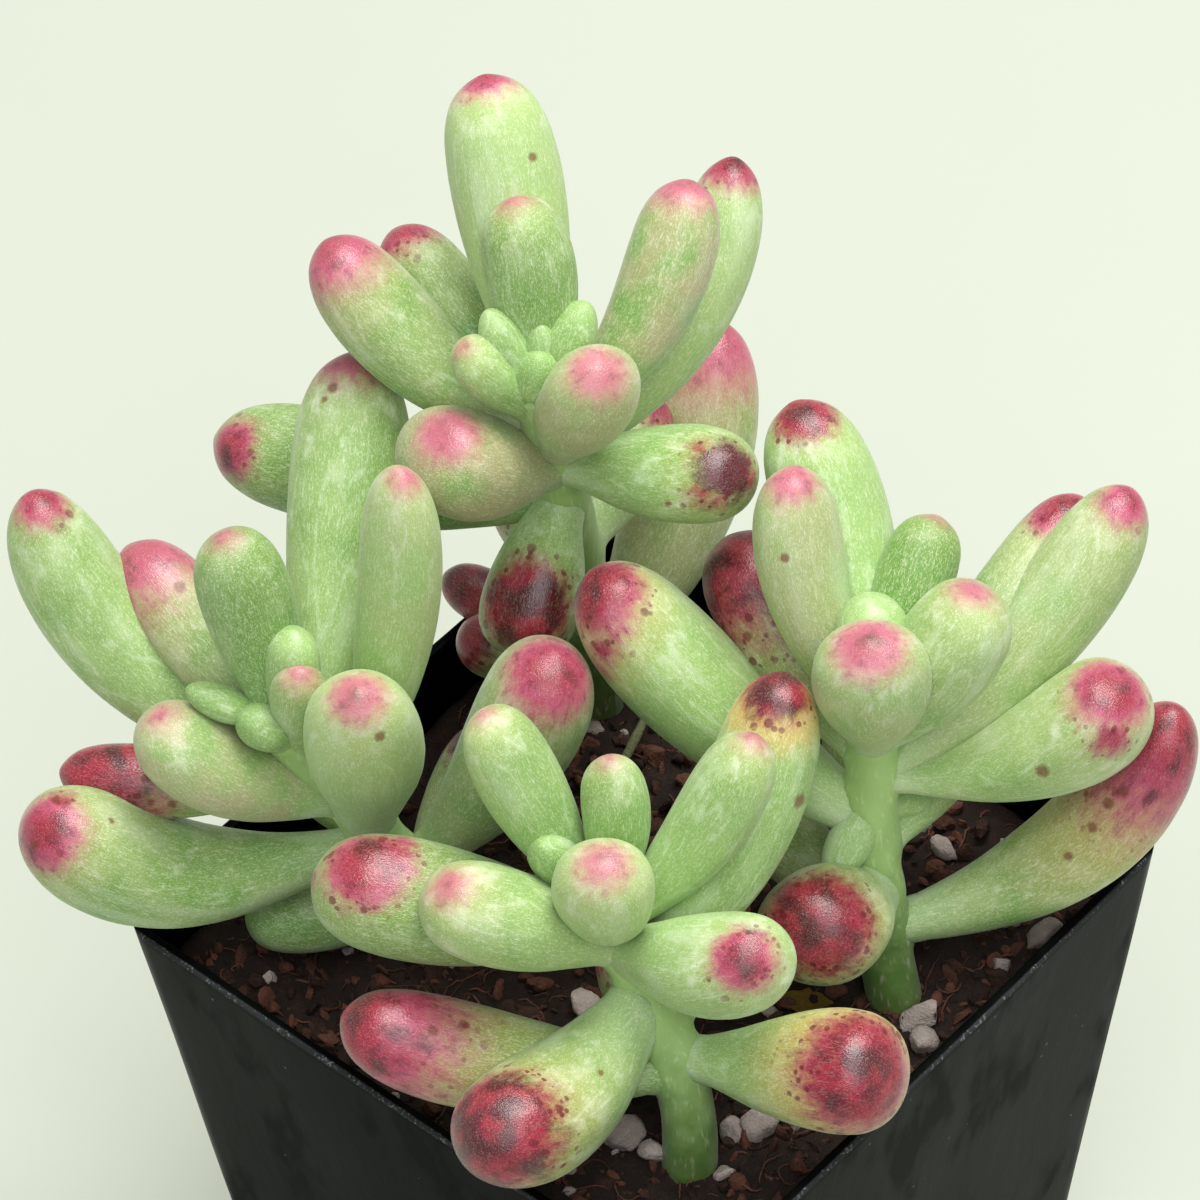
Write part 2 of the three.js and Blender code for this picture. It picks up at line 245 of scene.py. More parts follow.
RIGHT_LEAVES = [
    Leaf(
        25.2, 148, 40, 23.3, 8.4, 13, 16, -0.08, 0, 0.65, 0.09, 0, 0.5,
        patches=[(0.97, 270, 2.7, 0.75)],
    ),
    Leaf(
        23.9, 161, 60, 20.9, 6.7, 16, -34, 0.11, 0, 0.2, 0.03, 0.35, 0.4,
        patches=[(0.98, 236, 2.2, 0.25)],
        scars=[(0.73, 228, 0.36)],
    ),
    Leaf(28, 100, 41, 12.5, 5.8, 9, -1, -0.08, 1.1, 0, 0.09, 0.05, -0.9),
    Leaf(
        23.6, 86, 17, 23.9, 6.1, 23, 14, 0.19, 0, 0.6, 0.07, 0.25, -0.1,
        patches=[(0.93, 270, 3.0, 0.55)],
    ),
    Leaf(
        19.2, 78, 31, 28.8, 7.6, 37, 13, 0.06, 0, 0.35, 0.07, 0.25, 0.15,
        patches=[(0.98, 308, 2.4, 0.45)],
    ),
    Leaf(
        22.7, 50, 58, 16.2, 8.7, 4, 9, -0.04, 0, 0.1, 0.09, 0.15, 0.15,
        patches=[(0.99, 242, 2.0, 0.15)],
    ),
    Leaf(
        22.4, -53, 76, 15.2, 8.6, 8, -7, 0.12, 0, 0.2, 0.02, 0.35, 0.4,
        patches=[(1.0, 50, 3.0, 0.25)],
    ),
    Leaf(28.6, -146, 86, 6.8, 6.3, -2, 0, -0.04, 0, 0, 0.1, 0, 0.1),
    Leaf(29.5, 53, 63, 4.5, 2.2, 0, 0, 0, 0, 0, 0.03, 0, 0),
    Leaf(
        19.3, 44, 24, 21.1, 8.4, 64, 4, 0.78, 0, 0.5, 0.07, 0.15, 0.25,
        patches=[(0.98, 296, 3.5, 0.5), (0.9, 348, 1.6, 0.6)],
        scars=[(0.62, 332, 0.55)],
    ),
    Leaf(
        6, 56, 37, 28.5, 8.2, 71, 9, 0.01, 10, 0.5, 0.5, 0.2, -0.4,
        scars=[
            (0.8, 308, 0.42), (0.74, 302, 0.5), (0.65, 306, 0.4), (0.7, 274, 0.25), (0.53, 312, 0.38),
        ],
    ),
    Leaf(9.4, -82, 25, 12.8, 9.7, 8, 7, -0.17, 2, 0.85, 0.3, 0, 0, patches=[(0.95, 248, 4.8, 0.9)]),
    Leaf(16.5, 79, -29, 8, 2.6, 0, 0, 0, 0, 0, 0.07, 0, 0.2),
    Leaf(17.5, -84, -35, 7, 3.3, 0, 0, 0, 0, 0, 0.03, 0, 0.2),
    Leaf(
        15.2, -163, 40, 28.9, 9.2, 27, -5, 0.04, 0, 0.7, 0.3, 0.05, 0.2,
        patches=[
            (0.98, 220, 3.6, 0.62), (0.95, 184, 1.7, 0.75), (0.88, 214, 1.0, 0.6),
            (0.86, 186, 1.3, 0.6), (0.81, 160, 0.8, 0.5),
        ],
    ),
    Leaf(21.1, 167, 27, 19.7, 8.3, 14, 0, 0.04, 9, 0.72, 0.1, 0.5, -0.2, scars=[(0.62, 210, 0.4)]),
    Leaf(12, 133, 10, 16, 6.5, 15, 0, 0, 5, 0.7, 0.14, 0.2, -0.1),
    Leaf(7, 175, 4, 15, 6, 15, 0, 0, 5, 0.75, 0.14, 0.2, -0.2),
    Leaf(13, 98, 6, 16, 6.5, 15, 0, 0, 5, 0.6, 0.14, 0.2, 0),
]

FRONT_LEAVES = [
    Leaf(23.5, -172, 62, 17.5, 6.5, 9, 7, -0.04, 1.2, 0, 0.17, 0, 0.15),
    Leaf(22, 117, 71, 13.2, 5, 10, 32, 0.12, 1.1, 0.05, 0.1, 0, -0.1),
    Leaf(
        19.2, -127, 33, 16.6, 8.1, 7, 6, -0.06, 0, 0.05, 0.17, 0.1, 0.1,
        patches=[(0.96, 274, 1.9, 0.15)],
    ),
    Leaf(
        20.5, -51, 73, 12.5, 7.6, 11, 4, 0.01, 0, 0.05, 0.07, 0.15, 0.6,
        patches=[(1.0, 182, 2.3, 0.1)],
    ),
    Leaf(24.9, -92, 66, 7.6, 4.2, 0, 0, 0, 0, 0, 0.03, 0, 0.1),
    Leaf(20.7, 64, 52, 19.5, 6.3, 25, 13, 0.14, 1.6, 0, 0.12, 0, 0.25),
    Leaf(
        16.3, 96, 39, 24.7, 8.2, 29, 23, -0.12, 0, 0.8, 0.85, 0, 0,
        patches=[(0.97, 280, 2.9, 0.95)],
        scars=[(0.87, 28, 0.9), (0.67, 350, 0.6)],
    ),
    Leaf(19.2, 2, 32, 17.3, 8.5, 23, 8, -0.08, 0, 0.4, 0.1, 0, 0.25, patches=[(0.95, 312, 2.7, 0.55)]),
    Leaf(
        15.6, -89, 3, 19.1, 9.9, 73, -4, -0.07, 3, 0.85, 0.3, 0.1, -0.1,
        patches=[(0.99, 250, 5.8, 0.95)],
        scars=[(0.41, 236, 0.2)],
    ),
    Leaf(10, 22, 13, 17.8, 9.1, 16, -5, 0.49, 2, 0.65, 0.6, 0, -0.1, patches=[(0.93, 304, 5.4, 0.75)]),
    Leaf(
        8.7, -141, 14, 25.1, 8, 27, -13, 0.04, 9.5, 0.5, 0.3, 0.2, -0.9,
        scars=[(0.76, 252, 0.42), (0.66, 268, 0.28)],
    ),
    Leaf(
        20.8, -143, 12, 21.9, 9.6, 14, 0, 0, 0.8, 0.6, 0.12, 0.1, -0.9,
        patches=[(0.85, 264, 3.6, 0.62), (0.74, 296, 1.2, 0.6), (0.81, 230, 1.2, 0.6)],
        scars=[(0.22, 256, 0.45)],
    ),
    Leaf(6, 150, 18, 15, 6, 15, 0, 0, 5, 0.7, 0.14, 0.1, -0.2),
    Leaf(12, 112, 6, 14, 6, 15, 0, 0, 5, 0.7, 0.14, 0.1, -0.2),
]

STEMS = {
    "leafy_stem_upper": Stem((-18, 15, 51), (-15.5, 12, 74), (-15, 7, 95), UPPER_LEAVES),
    "leafy_stem_left": Stem((-11.5, -10.5, 51), (-15, -12.5, 64), (-21, -17, 75), LEFT_LEAVES),
    "leafy_stem_right": Stem((18.5, 7, 51), (14, 8.5, 66), (12, 13.5, 80.5), RIGHT_LEAVES),
    "leafy_stem_front": Stem((17, -15, 51), (17, -13.5, 65), (2.5, -11.5, 70.5), FRONT_LEAVES),
}

# Leaf and bud outlines: share of the length, then share of the half width there
LEAF_PROFILE = [
    (0.0, 0.3), (0.08, 0.44), (0.24, 0.66), (0.42, 0.88), (0.6, 0.99), (0.75, 0.98), (0.87, 0.86),
    (0.95, 0.61), (1.0, 0.0),
]
BUD_PROFILE = [(0.0, 0.35), (0.25, 0.75), (0.55, 1.0), (0.8, 0.82), (0.93, 0.5), (1.0, 0.0)]

# Shorter leaves are buds, with fewer sides and rings; rings crowd towards a leaf's tip, which
# ends in a small blunt nub
BUD_LENGTH = 9.0
BUD_FINENESS = 0.55
LEAF_THICKNESS = 0.88
CLUB_PIVOT = 0.6
TIP_CROWDING = 1.8
NUB_RADIUS = 0.75
STEM_RADII = (2.1, 1.6)
STEM_SIDES = 32
STEM_RINGS = 90
ROOT_DEPTH = 8.0
FILLET = 1.3

# Red caps: the depth given to points far outside, and the widest cap with a sharp edge
LEAST_INSIDE = -6.0
SHARP_REACH = 3.2

# How far apart leaves may start in the noise of their skin
GRAIN_RANGE = 400

# Soft facets of a leaf: depth, waves around, and how far they wind along
LEAF_FACETS = [(1.0, 2, 0), (0.8, 3, 2), (0.5, 5, -3), (0.6, 1, 7)]

# Perlite seen on top of the mix in the photograph: x, y and size
SEEN_PERLITE = [
    (12.3, -16.9, 3.0), (14.9, -16.5, 2.4), (17.7, -15.7, 1.6), (19.0, -9.3, 3.4),
    (18.2, -11.2, 2.4), (1.6, -9.2, 2.9), (21.9, 6.2, 3.3), (23.7, 4.2, 2.7), (22.4, 2.6, 1.7),
    (23.5, 13.7, 2.1), (24.2, 18.4, 2.9), (12.8, 20.3, 2.2), (20.0, -14.4, 1.7), (16.5, 7.4, 1.9),
]
PERLITE_SPREAD = 1.2

# Crumbs are balls cut flat at some share of their radius, roughened and set into the mix
CRUMB_CUTS = (0.45, 0.8)
CRUMB_ROUGHNESS = 0.04
CRUMB_RISE = 0.6

# A dried leaf lying on the mix: its middle, heading, length and width; and a thin dried
# stalk: its two ends
DRY_LEAF = (14.6, 1.6, 20.0, 4.6, 2.3)
DRY_STALK = ((-11.1, 6.2, 50.7), (-12.2, 16.0, 55.2))
DRY_STALK_RADIUS = 0.45


def srgb(red, green, blue):
    """A colour given as on a screen, 0 to 255, as the linear values that sockets take."""

    def linear(value):
        share = value / 255
        return share / 12.92 if share <= 0.04045 else ((share + 0.055) / 1.055) ** 2.4

    return (linear(red), linear(green), linear(blue))


def shade(tone, factor):
    return [factor * value for value in tone]


def colour(name, description, red, green, blue):
    return FloatVectorProperty(
        name=name,
        description=description,
        default=srgb(red, green, blue),
        size=3,
        min=0.0,
        max=1.0,
        subtype="COLOR",
    )


def length(name, description, millimetres):
    return FloatProperty(
        name=name,
        description=description,
        default=millimetres * MM,
        min=0.0,
        unit="LENGTH",
        precision=5,
    )


def share(name, description, default):
    return FloatProperty(
        name=name, description=description, default=default, min=0.0, max=1.0, subtype="FACTOR"
    )


def power(name, description, watts):
    return FloatProperty(name=name, description=description, default=watts, min=0.0, unit="POWER")


def count(name, description, default, least=0):
    return IntProperty(name=name, description=description, default=default, min=least)


# Settings


class SedumPotSettings(bpy.types.PropertyGroup):
    wall: length("Wall", "Thickness of the pot's wall", POT_WALL)
    corner: length("Corner", "Radius of the pot's upright corners", 3.5)
    rim_edge: length("Rim edge", "Radius of the rim's worn edges", 0.28)
    waviness: length("Waviness", "How far the soft wall strays from flat", 0.3)
    plastic: colour("Plastic", "Colour of the pot", 6, 6, 7)
    # Greenish smears on the wall, partly a painted reflection of the surroundings
    smear_and_reflection: colour("Haze", "Colour of the dull, smeared film on the wall", 14, 17, 15)
    # Light grey of scuffs and dust, also painted as the highlight along the rim's edge
    scuff_and_highlight: colour("Scuff", "Colour of scuffs and dust", 176, 178, 184)


class SedumMixSettings(bpy.types.PropertyGroup):
    fibres: count("Fibres", "Count of coir fibres", 520)
    chips: count("Chips", "Count of bark and peat chips", 1900)
    grains: count("Grains", "Count of scattered perlite grains", 60)
    peat: colour("Peat", "Colour of the fine mix", 38, 28, 23)
    bark: colour("Bark", "Colour of bark chips and fibres", 108, 68, 54)
    perlite: colour("Perlite", "Colour of perlite", 224, 205, 197)
    dry_leaf: colour("Dry leaf", "Colour of the dried leaf", 190, 148, 52)
    dry_stalk: colour("Dry stalk", "Colour of the dried stalk", 186, 190, 140)


class SedumLeafSettings(bpy.types.PropertyGroup):
    sides: count("Sides", "Faces around a leaf", 44, least=8)
    rings: count("Rings", "Faces along a leaf", 56, least=8)
    unevenness: share("Unevenness", "Depth of soft facets, as a share of the half width", 0.022)
    deep: colour("Deep green", "Green of a leaf's body", 104, 150, 60)
    pale: colour("Pale green", "Green under the bloom", 166, 198, 122)
    # Pale colour of the waxy bloom, also used for painted highlights on ridges and beside the tip
    bloom_and_highlight: colour("Bloom", "Waxy bloom near the base and on ridges", 210, 226, 192)
    gold: colour("Gold", "Yellow round a red cap", 206, 170, 88)
    blush: colour("Blush", "Brownish pink over a leaf's body", 184, 156, 128)
    pink: colour("Pink", "Red of a young tip", 196, 86, 124)
    crimson: colour("Crimson", "Red of a ripe cap", 148, 28, 54)
    wine: colour("Wine", "Darkest red of an old cap", 64, 10, 28)
    speck: colour("Speck", "Colour of the round specks beside old caps", 104, 18, 30)
    scar: colour("Scar", "Brown of small scars", 116, 52, 36)
    # Whitish papillae on leaves and stems, with their glints painted in
    papillae_and_glints: colour("Glitter", "Silvery papillae", 238, 244, 212)


class SedumStageSettings(bpy.types.PropertyGroup):
    floor: colour("Floor", "Colour of the floor", 198, 203, 190)
    sky: FloatProperty(name="Sky", description="Strength of the even light", default=0.5, min=0.0)
    key_light: power("Key light", "Power of the overhead softbox", 4.0)
    fill_light: power("Fill light", "Power of the front softbox", 1.75)


SETTINGS = {
    "sedum_pot": SedumPotSettings,
    "sedum_mix": SedumMixSettings,
    "sedum_leaf": SedumLeafSettings,
    "sedum_stage": SedumStageSettings,
}


# Materials

SHEEN = {"Sheen_Weight": 0.15, "Sheen_Roughness": 0.45}


class Nodes:
    """One material's nodes, with short calls for those that repeat."""

    def __init__(self, name):
        self.material = bpy.data.materials.new(name)
        self.material.use_nodes = True
        self.tree = self.material.node_tree
        self.tree.nodes.clear()
        self.shader = self.add("ShaderNodeBsdfPrincipled")
        output = self.add("ShaderNodeOutputMaterial")
        self.tree.links.new(self.shader.outputs["BSDF"], output.inputs["Surface"])

    def put(self, socket, value):
        if isinstance(value, bpy.types.NodeSocket):
            self.tree.links.new(value, socket)
        elif socket.type == "RGBA" and len(value) == 3:
            socket.default_value = (*value, 1.0)
        else:
            socket.default_value = value

    def add(self, kind, inputs=None, **settings):
        node = self.tree.nodes.new(kind)
        for key, value in settings.items():
            setattr(node, key, value)
        for key, value in (inputs or {}).items():
            self.put(node.inputs[key], value)
        return node

    def set(self, **inputs):
        for key, value in inputs.items():
            self.put(self.shader.inputs[key.replace("_", " ")], value)

    def math(self, operation, *values):
        return self.add("ShaderNodeMath", dict(enumerate(values)), operation=operation).outputs[0]

    def chain(self, operation, values):
        total = values[0]
        for value in values[1:]:
            total = self.math(operation, total, value)
        return total

    def times(self, *factors):
        return self.chain("MULTIPLY", factors)

    def sum(self, *terms):
        """The sum of the terms; one given as a pair is a value and its weight."""
        terms = [self.times(*term) if isinstance(term, tuple) else term for term in terms]
        return self.chain("ADD", terms)

    def step(self, value, low, high, to_low=0.0, to_high=1.0):
        """Smoothly to_low where value is low, and to_high where it is high."""
        inputs = {"Value": value, "From Min": low, "From Max": high}
        inputs.update({"To Min": to_low, "To Max": to_high})
        return self.add("ShaderNodeMapRange", inputs, interpolation_type="SMOOTHSTEP").outputs["Result"]

    def blend(self, first, second, factor):
        inputs = {0: factor, 6: first, 7: second}
        return self.add("ShaderNodeMix", inputs, data_type="RGBA").outputs[2]

    def attribute(self, name, output="Fac"):
        return self.add("ShaderNodeAttribute", attribute_name=name).outputs[output]

    def vector_math(self, operation, first, second, output):
        inputs = {0: first, 1: second}
        return self.add("ShaderNodeVectorMath", inputs, operation=operation).outputs[output]

    def noise(self, vector, scale, detail, roughness=0.5, squeeze=None):
        """Soft noise, drawn out lengthwise where z is squeezed first."""
        if squeeze is not None:
            vector = self.vector_math("MULTIPLY", vector, (1.0, 1.0, squeeze), "Vector")
        inputs = {"Vector": vector, "Scale": scale, "Detail": detail, "Roughness": roughness}
        return self.add("ShaderNodeTexNoise", inputs).outputs["Fac"]

    def cells(self, vector, scale):
        """The distance to the nearest of scattered points, and a random number for each."""
        node = self.add("ShaderNodeTexVoronoi", {"Vector": vector, "Scale": scale})
        split = self.add("ShaderNodeSeparateColor", {"Color": node.outputs["Color"]})
        return node.outputs["Distance"], split.outputs["Red"]

    def millimetres(self):
        place = self.add("ShaderNodeNewGeometry").outputs["Position"]
        return self.vector_math("MULTIPLY", place, (1 / MM,) * 3, "Vector")

    def bump(self, height, distance, strength, normal=None):
        """Relief that stands up to distance millimetres high."""
        inputs = {"Height": height, "Distance": distance * MM, "Strength": strength}
        if normal is not None:
            inputs["Normal"] = normal
        return self.add("ShaderNodeBump", inputs).outputs["Normal"]


def leaf_material(name, settings, scars):
    nodes = Nodes(name)
    grain = nodes.attribute("grain", "Vector")
    inside, ripeness, gold, blush, tone, along = (
        nodes.attribute(name) for name in ("inside", "ripeness", "gold", "blush", "tone", "along")
    )
    cloud = nodes.noise(grain, 0.2, 1.0)
    blotch = nodes.noise(grain, 0.5, 3.0, 0.6)
    mottle = nodes.noise(grain, 1.2, 3.0, 0.65, squeeze=0.5)
    streaks = nodes.noise(grain, 6.0, 2.0, 0.6, squeeze=0.22)
    papillae = nodes.noise(grain, 13.0, 0.0, squeeze=0.4)
    ridges = nodes.noise(grain, 0.42, 1.0, squeeze=0.16)

    # Green, paler towards the base under its waxy bloom; pale lines along soft ridges are painted
    # highlights
    pale_base = nodes.step(along, 0.45, 0.0, 0.0, 0.25)
    # The tone's share paints shade on leaves in shadow, and paints light on some that face down
    paleness = nodes.sum((tone, 0.55), (blotch, 0.5), (cloud, 0.7), pale_base, -0.12)
    green = nodes.blend(settings.deep, settings.pale, nodes.step(paleness, -0.1, 1.0))
    lines = nodes.step(nodes.math("ABSOLUTE", nodes.sum(ridges, -0.5)), 0.035, 0.0, 0.0, 0.45)
    bloom_and_highlight = nodes.sum(
        nodes.times(lines, nodes.step(blotch, 0.4, 0.6)),
        nodes.step(ridges, 0.55, 0.72, 0.0, 0.4),
        nodes.step(along, 0.3, 0.0, 0.0, 0.3),
    )
    # A painted highlight: pale patches just outside the red cap
    painted_tip_highlight = nodes.times(nodes.step(inside, -4.5, -0.8), nodes.step(blotch, 0.48, 0.7, 0.0, 0.55))
    # Less bloom on leaves of low tone, as part of their painted shade
    bloom_and_highlight = nodes.times(nodes.sum(bloom_and_highlight, painted_tip_highlight), nodes.step(tone, -0.9, 0.1, 0.3, 0.9))
    green = nodes.blend(green, settings.bloom_and_highlight, bloom_and_highlight)

    # Gold beside the cap, and a blush over the body
    ragged = nodes.sum(inside, (mottle, 2.2), (streaks, 0.9), -1.1)
    gold_share = nodes.times(nodes.step(ragged, -3.2, 0.3), gold)
    tissue = nodes.blend(green, settings.gold, gold_share)
    veil = nodes.sum(cloud, (blotch, 0.4), (along, 0.2))
    tissue = nodes.blend(tissue, settings.blush, nodes.times(nodes.step(veil, 0.55, 0.95), blush))

    # The red cap, its edge soft on young leaves and a little sharper on old ones
    cap = nodes.step(ragged, -0.6, nodes.step(ripeness, 0.1, 0.8, 2.1, 1.5))
    middle = nodes.step(inside, 0.0, 3.0, -0.2, 0.2)
    ripe = nodes.step(nodes.sum(ripeness, (blotch, 0.5), middle, -0.25), 0.1, 0.75)
    cap_red = nodes.blend(settings.pink, settings.crimson, ripe)
    pools = nodes.noise(grain, 0.42, 1.5, 0.4)
    stain = nodes.sum((pools, 2.6), (mottle, 0.3), (ripeness, 0.8), middle, -2.0)
    cap_red = nodes.blend(cap_red, settings.wine, nodes.step(stain, -0.1, 0.6, 0.0, 0.85))
    cap_red = nodes.blend(cap_red, settings.wine, nodes.step(mottle, 0.5, 0.72, 0.0, 0.4))
    skin = nodes.blend(tissue, cap_red, nodes.times(cap, nodes.step(ripeness, 0.0, 0.5, 0.8, 1.0)))

    # Whitish papillae in lengthwise rows, with their glints painted in, fewer on the cap
    dots = nodes.step(papillae, 0.48, 0.75, 0.0, 0.28)
    rows = nodes.step(streaks, 0.5, 0.7, 0.0, 0.26)
    glint = nodes.times(nodes.sum(dots, rows), nodes.step(cap, 0.0, 1.0, 1.0, 0.25))
    skin = nodes.blend(skin, settings.papillae_and_glints, glint)

    # Round dark specks beside old caps, and a few scars
    beside = nodes.times(nodes.step(inside, -1.9, 0.0), nodes.step(inside, 2.6, 1.0))
    zone = nodes.times(beside, nodes.step(ripeness, 0.25, 0.7), nodes.step(blotch, 0.36, 0.52))
    for spacing, least in ((1.2, 0.2), (0.7, 0.35)):
        distance, lot = nodes.cells(grain, 1 / spacing)
        size = nodes.step(nodes.sum(lot, (zone, 0.4)), least, 1.3, -0.1, 0.36)
        dot = nodes.step(nodes.sum(distance, (size, -1.0)), 0.05, -0.08)
        skin = nodes.blend(skin, settings.speck, nodes.times(dot, zone, 0.8))
    place = nodes.millimetres()
    for centre, radius in scars:
        away = nodes.sum(nodes.vector_math("DISTANCE", place, centre, "Value"), (streaks, 0.25))
        mark = nodes.step(away, radius + 0.3, radius * 0.6 + 0.1, 0.0, 0.75)
        skin = nodes.blend(skin, settings.scar, mark)

    relief = nodes.sum((papillae, 0.5), (streaks, 0.5))
    soft = nodes.bump(ridges, 0.3, 0.5)
    nodes.set(
        Base_Color=skin,
        Roughness=nodes.step(cap, 0.0, 1.0, 0.46, 0.24),
        Normal=nodes.bump(relief, 0.05, 0.8, soft),
        **SHEEN,
        Sheen_Tint=(0.92, 1.0, 0.88),
        Subsurface_Weight=0.15,
        Subsurface_Radius=(1.0, 0.9, 0.35),
        Subsurface_Scale=1.4 * MM,
    )
    return nodes.material


def stem_material(settings):
    nodes = Nodes("sedum_stem")
    grain = nodes.attribute("grain", "Vector")
    blotch = nodes.noise(grain, 0.5, 3.0)
    streaks = nodes.noise(grain, 2.6, 2.0, squeeze=0.2)
    along = nodes.attribute("along")
    height = nodes.sum(along, (blotch, 0.4))
    green = nodes.blend(shade(settings.deep, 0.6), settings.pale, nodes.step(height, 0.35, 0.85))
    corky = nodes.step(nodes.sum((along, -2.2), streaks), -0.2, 0.4, 0.0, 0.55)
    skin = nodes.blend(green, srgb(112, 104, 62), corky)
    # Whitish papillae along the streaks, with their glints painted in
    skin = nodes.blend(skin, settings.papillae_and_glints, nodes.step(streaks, 0.55, 0.75, 0.0, 0.25))
    nodes.set(
        Base_Color=skin,
        Roughness=nodes.step(blotch, 0.3, 0.7, 0.45, 0.6),
        Normal=nodes.bump(streaks, 0.08, 0.7),
        **SHEEN,
    )
    return nodes.material


def pot_material(settings):
    nodes = Nodes("pot_plastic")
    place = nodes.millimetres()
    split = nodes.add("ShaderNodeSeparateXYZ", {"Vector": place})
    clouds = nodes.noise(place, 0.09, 3.0, 0.6, squeeze=0.6)
    smears = nodes.noise(place, 0.5, 4.0, 0.6, squeeze=0.35)
    fine = nodes.noise(place, 3.6, 3.0, 0.6)
    # Patches of dull smear, tinted green as a painted reflection of the surroundings
    smear_and_reflection_mask = nodes.times(nodes.step(clouds, 0.42, 0.66), nodes.step(smears, 0.3, 0.7, 0.2, 0.9))
    base = nodes.blend(settings.plastic, settings.smear_and_reflection, smear_and_reflection_mask)
    distance, lot = nodes.cells(place, 0.7)
    dust = nodes.times(nodes.step(distance, 0.11, 0.03), nodes.step(lot, 0.86, 0.88, 0.0, 0.3))
    base = nodes.blend(base, settings.scuff_and_highlight, dust)
    reach = nodes.math("MAXIMUM", *(nodes.math("ABSOLUTE", split.outputs[way]) for way in "XY"))
    outer = nodes.step(reach, RIM_SIDE / 2 - 0.34, RIM_SIDE / 2 - 0.16)
    edge = nodes.times(outer, nodes.step(split.outputs["Z"], POT_HEIGHT - 0.4, POT_HEIGHT - 0.15))
    scratches = nodes.sum(fine, (smears, 0.5))
    # A faint painted highlight all along the rim's outer edge, with real scratches and scuffs in it
    rim_wear_and_highlight = nodes.times(edge, nodes.sum(0.07, nodes.step(scratches, 0.8, 1.0, 0.0, 0.4)))
    base = nodes.blend(base, settings.scuff_and_highlight, rim_wear_and_highlight)
    nodes.set(
        Base_Color=base,
        Roughness=nodes.sum(nodes.step(smear_and_reflection_mask, 0.0, 0.6, 0.3, 0.46), (rim_wear_and_highlight, 0.3)),
        Normal=nodes.bump(nodes.sum(smears, (fine, 0.3)), 0.06, 0.5),
        Specular_IOR_Level=0.02,
    )
    return nodes.material


def crumb_material(name, base, dark, tint_spread=0.8, roughness=0.85):
    """Earthy stuff: base to dark by noise, with each crumb's own tint."""
    nodes = Nodes(name)
    place = nodes.millimetres()
    tint = nodes.attribute("tint")
    coarse = nodes.noise(place, 0.8, 4.0, 0.65)
    fine = nodes.noise(place, 5.0, 3.0, 0.6)
    lightness = nodes.sum((tint, tint_spread), (coarse, 0.8), (fine, 0.5), -0.85)
    nodes.set(
        Base_Color=nodes.blend(dark, base, nodes.step(lightness, -0.3, 0.7)),
        Roughness=roughness,
        Normal=nodes.bump(nodes.sum(coarse, fine), 0.25, 0.8),
        Specular_IOR_Level=0.3,
    )
    return nodes.material


def floor_material(settings):
    nodes = Nodes("pale_floor")
    grain = nodes.noise(nodes.millimetres(), 0.02, 3.0)
    tone = nodes.blend(settings.floor, shade(settings.floor, 0.96), grain)
    nodes.set(Base_Color=tone, Roughness=0.9)
    return nodes.material


# Meshes


def add_object(name, data):
    thing = bpy.data.objects.new(name, data)
    bpy.context.scene.collection.objects.link(thing)
    return thing


def make_piece(name, vertices, faces, material, slot, attributes=None, smooth=True):
    """A mesh piece from points in millimetres, with its point attributes, riding on the root body."""
    mesh = bpy.data.meshes.new(name)
    mesh.from_pydata((np.asarray(vertices, float) * MM).tolist(), [], faces)
    for key, values in (attributes or {}).items():
        values = np.asarray(values, np.float32)
        kind, field = ("FLOAT_VECTOR", "vector") if values.ndim == 2 else ("FLOAT", "value")
        layer = mesh.attributes.new(key, kind, "POINT")
        layer.data.foreach_set(field, values.ravel())
    mesh.polygons.foreach_set("use_smooth", [smooth] * len(mesh.polygons))
    mesh.materials.append(material)
    mesh.update()
    piece = add_object(name, mesh)
    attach(piece, "root")
    return piece


def tube_faces(sides, rings, start=0):
    """Quads over rings of points, with a fan at each end; the end points follow the rings."""
    faces = []
    for ring in range(rings - 1):
        for k in range(sides):
            a = start + ring * sides + k
            b = start + ring * sides + (k + 1) % sides
            faces.append((a, b, b + sides, a + sides))
    first = start + rings * sides
    last = first + 1
    top = start + (rings - 1) * sides
    for k in range(sides):
        faces.append((first, start + (k + 1) % sides, start + k))
        faces.append((last, top + k, top + (k + 1) % sides))
    return faces


def unit(vectors):
    return vectors / np.linalg.norm(vectors, axis=-1, keepdims=True)


def ring_angles(sides):
    return np.arange(sides) / sides * 2 * math.pi


def ring_directions(side, above, sides, thickness=1.0):
    """From each place on a path, the directions of the points on the ring around it."""
    turn = ring_angles(sides)[None, :, None]
    return np.cos(turn) * side[:, None] - thickness * np.sin(turn) * above[:, None]


def tube_points(centres, radii, across, ends):
    """The points of the rings, and then the two end points."""
    skin = centres[:, None] + radii[..., None] * across
    return np.concatenate([skin.reshape(-1, 3), ends])


def with_ends(values, last=0.0):
    """A value for each point of the rings, and then for the two end points."""
    return np.concatenate([np.ravel(values), [0.0, last]])


def smooth_through(stations, values, at):
    """A cubic through the stations, with each slope taken from its neighbours."""
    slopes = np.gradient(values, stations)
    k = np.clip(np.searchsorted(stations, at, side="right") - 1, 0, len(stations) - 2)
    span = stations[k + 1] - stations[k]
    t = (at - stations[k]) / span
    return (
        (2 * t**3 - 3 * t**2 + 1) * values[k]
        + (t**3 - 2 * t**2 + t) * span * slopes[k]
        + (3 * t**2 - 2 * t**3) * values[k + 1]
        + (t**3 - t**2) * span * slopes[k + 1]
    )


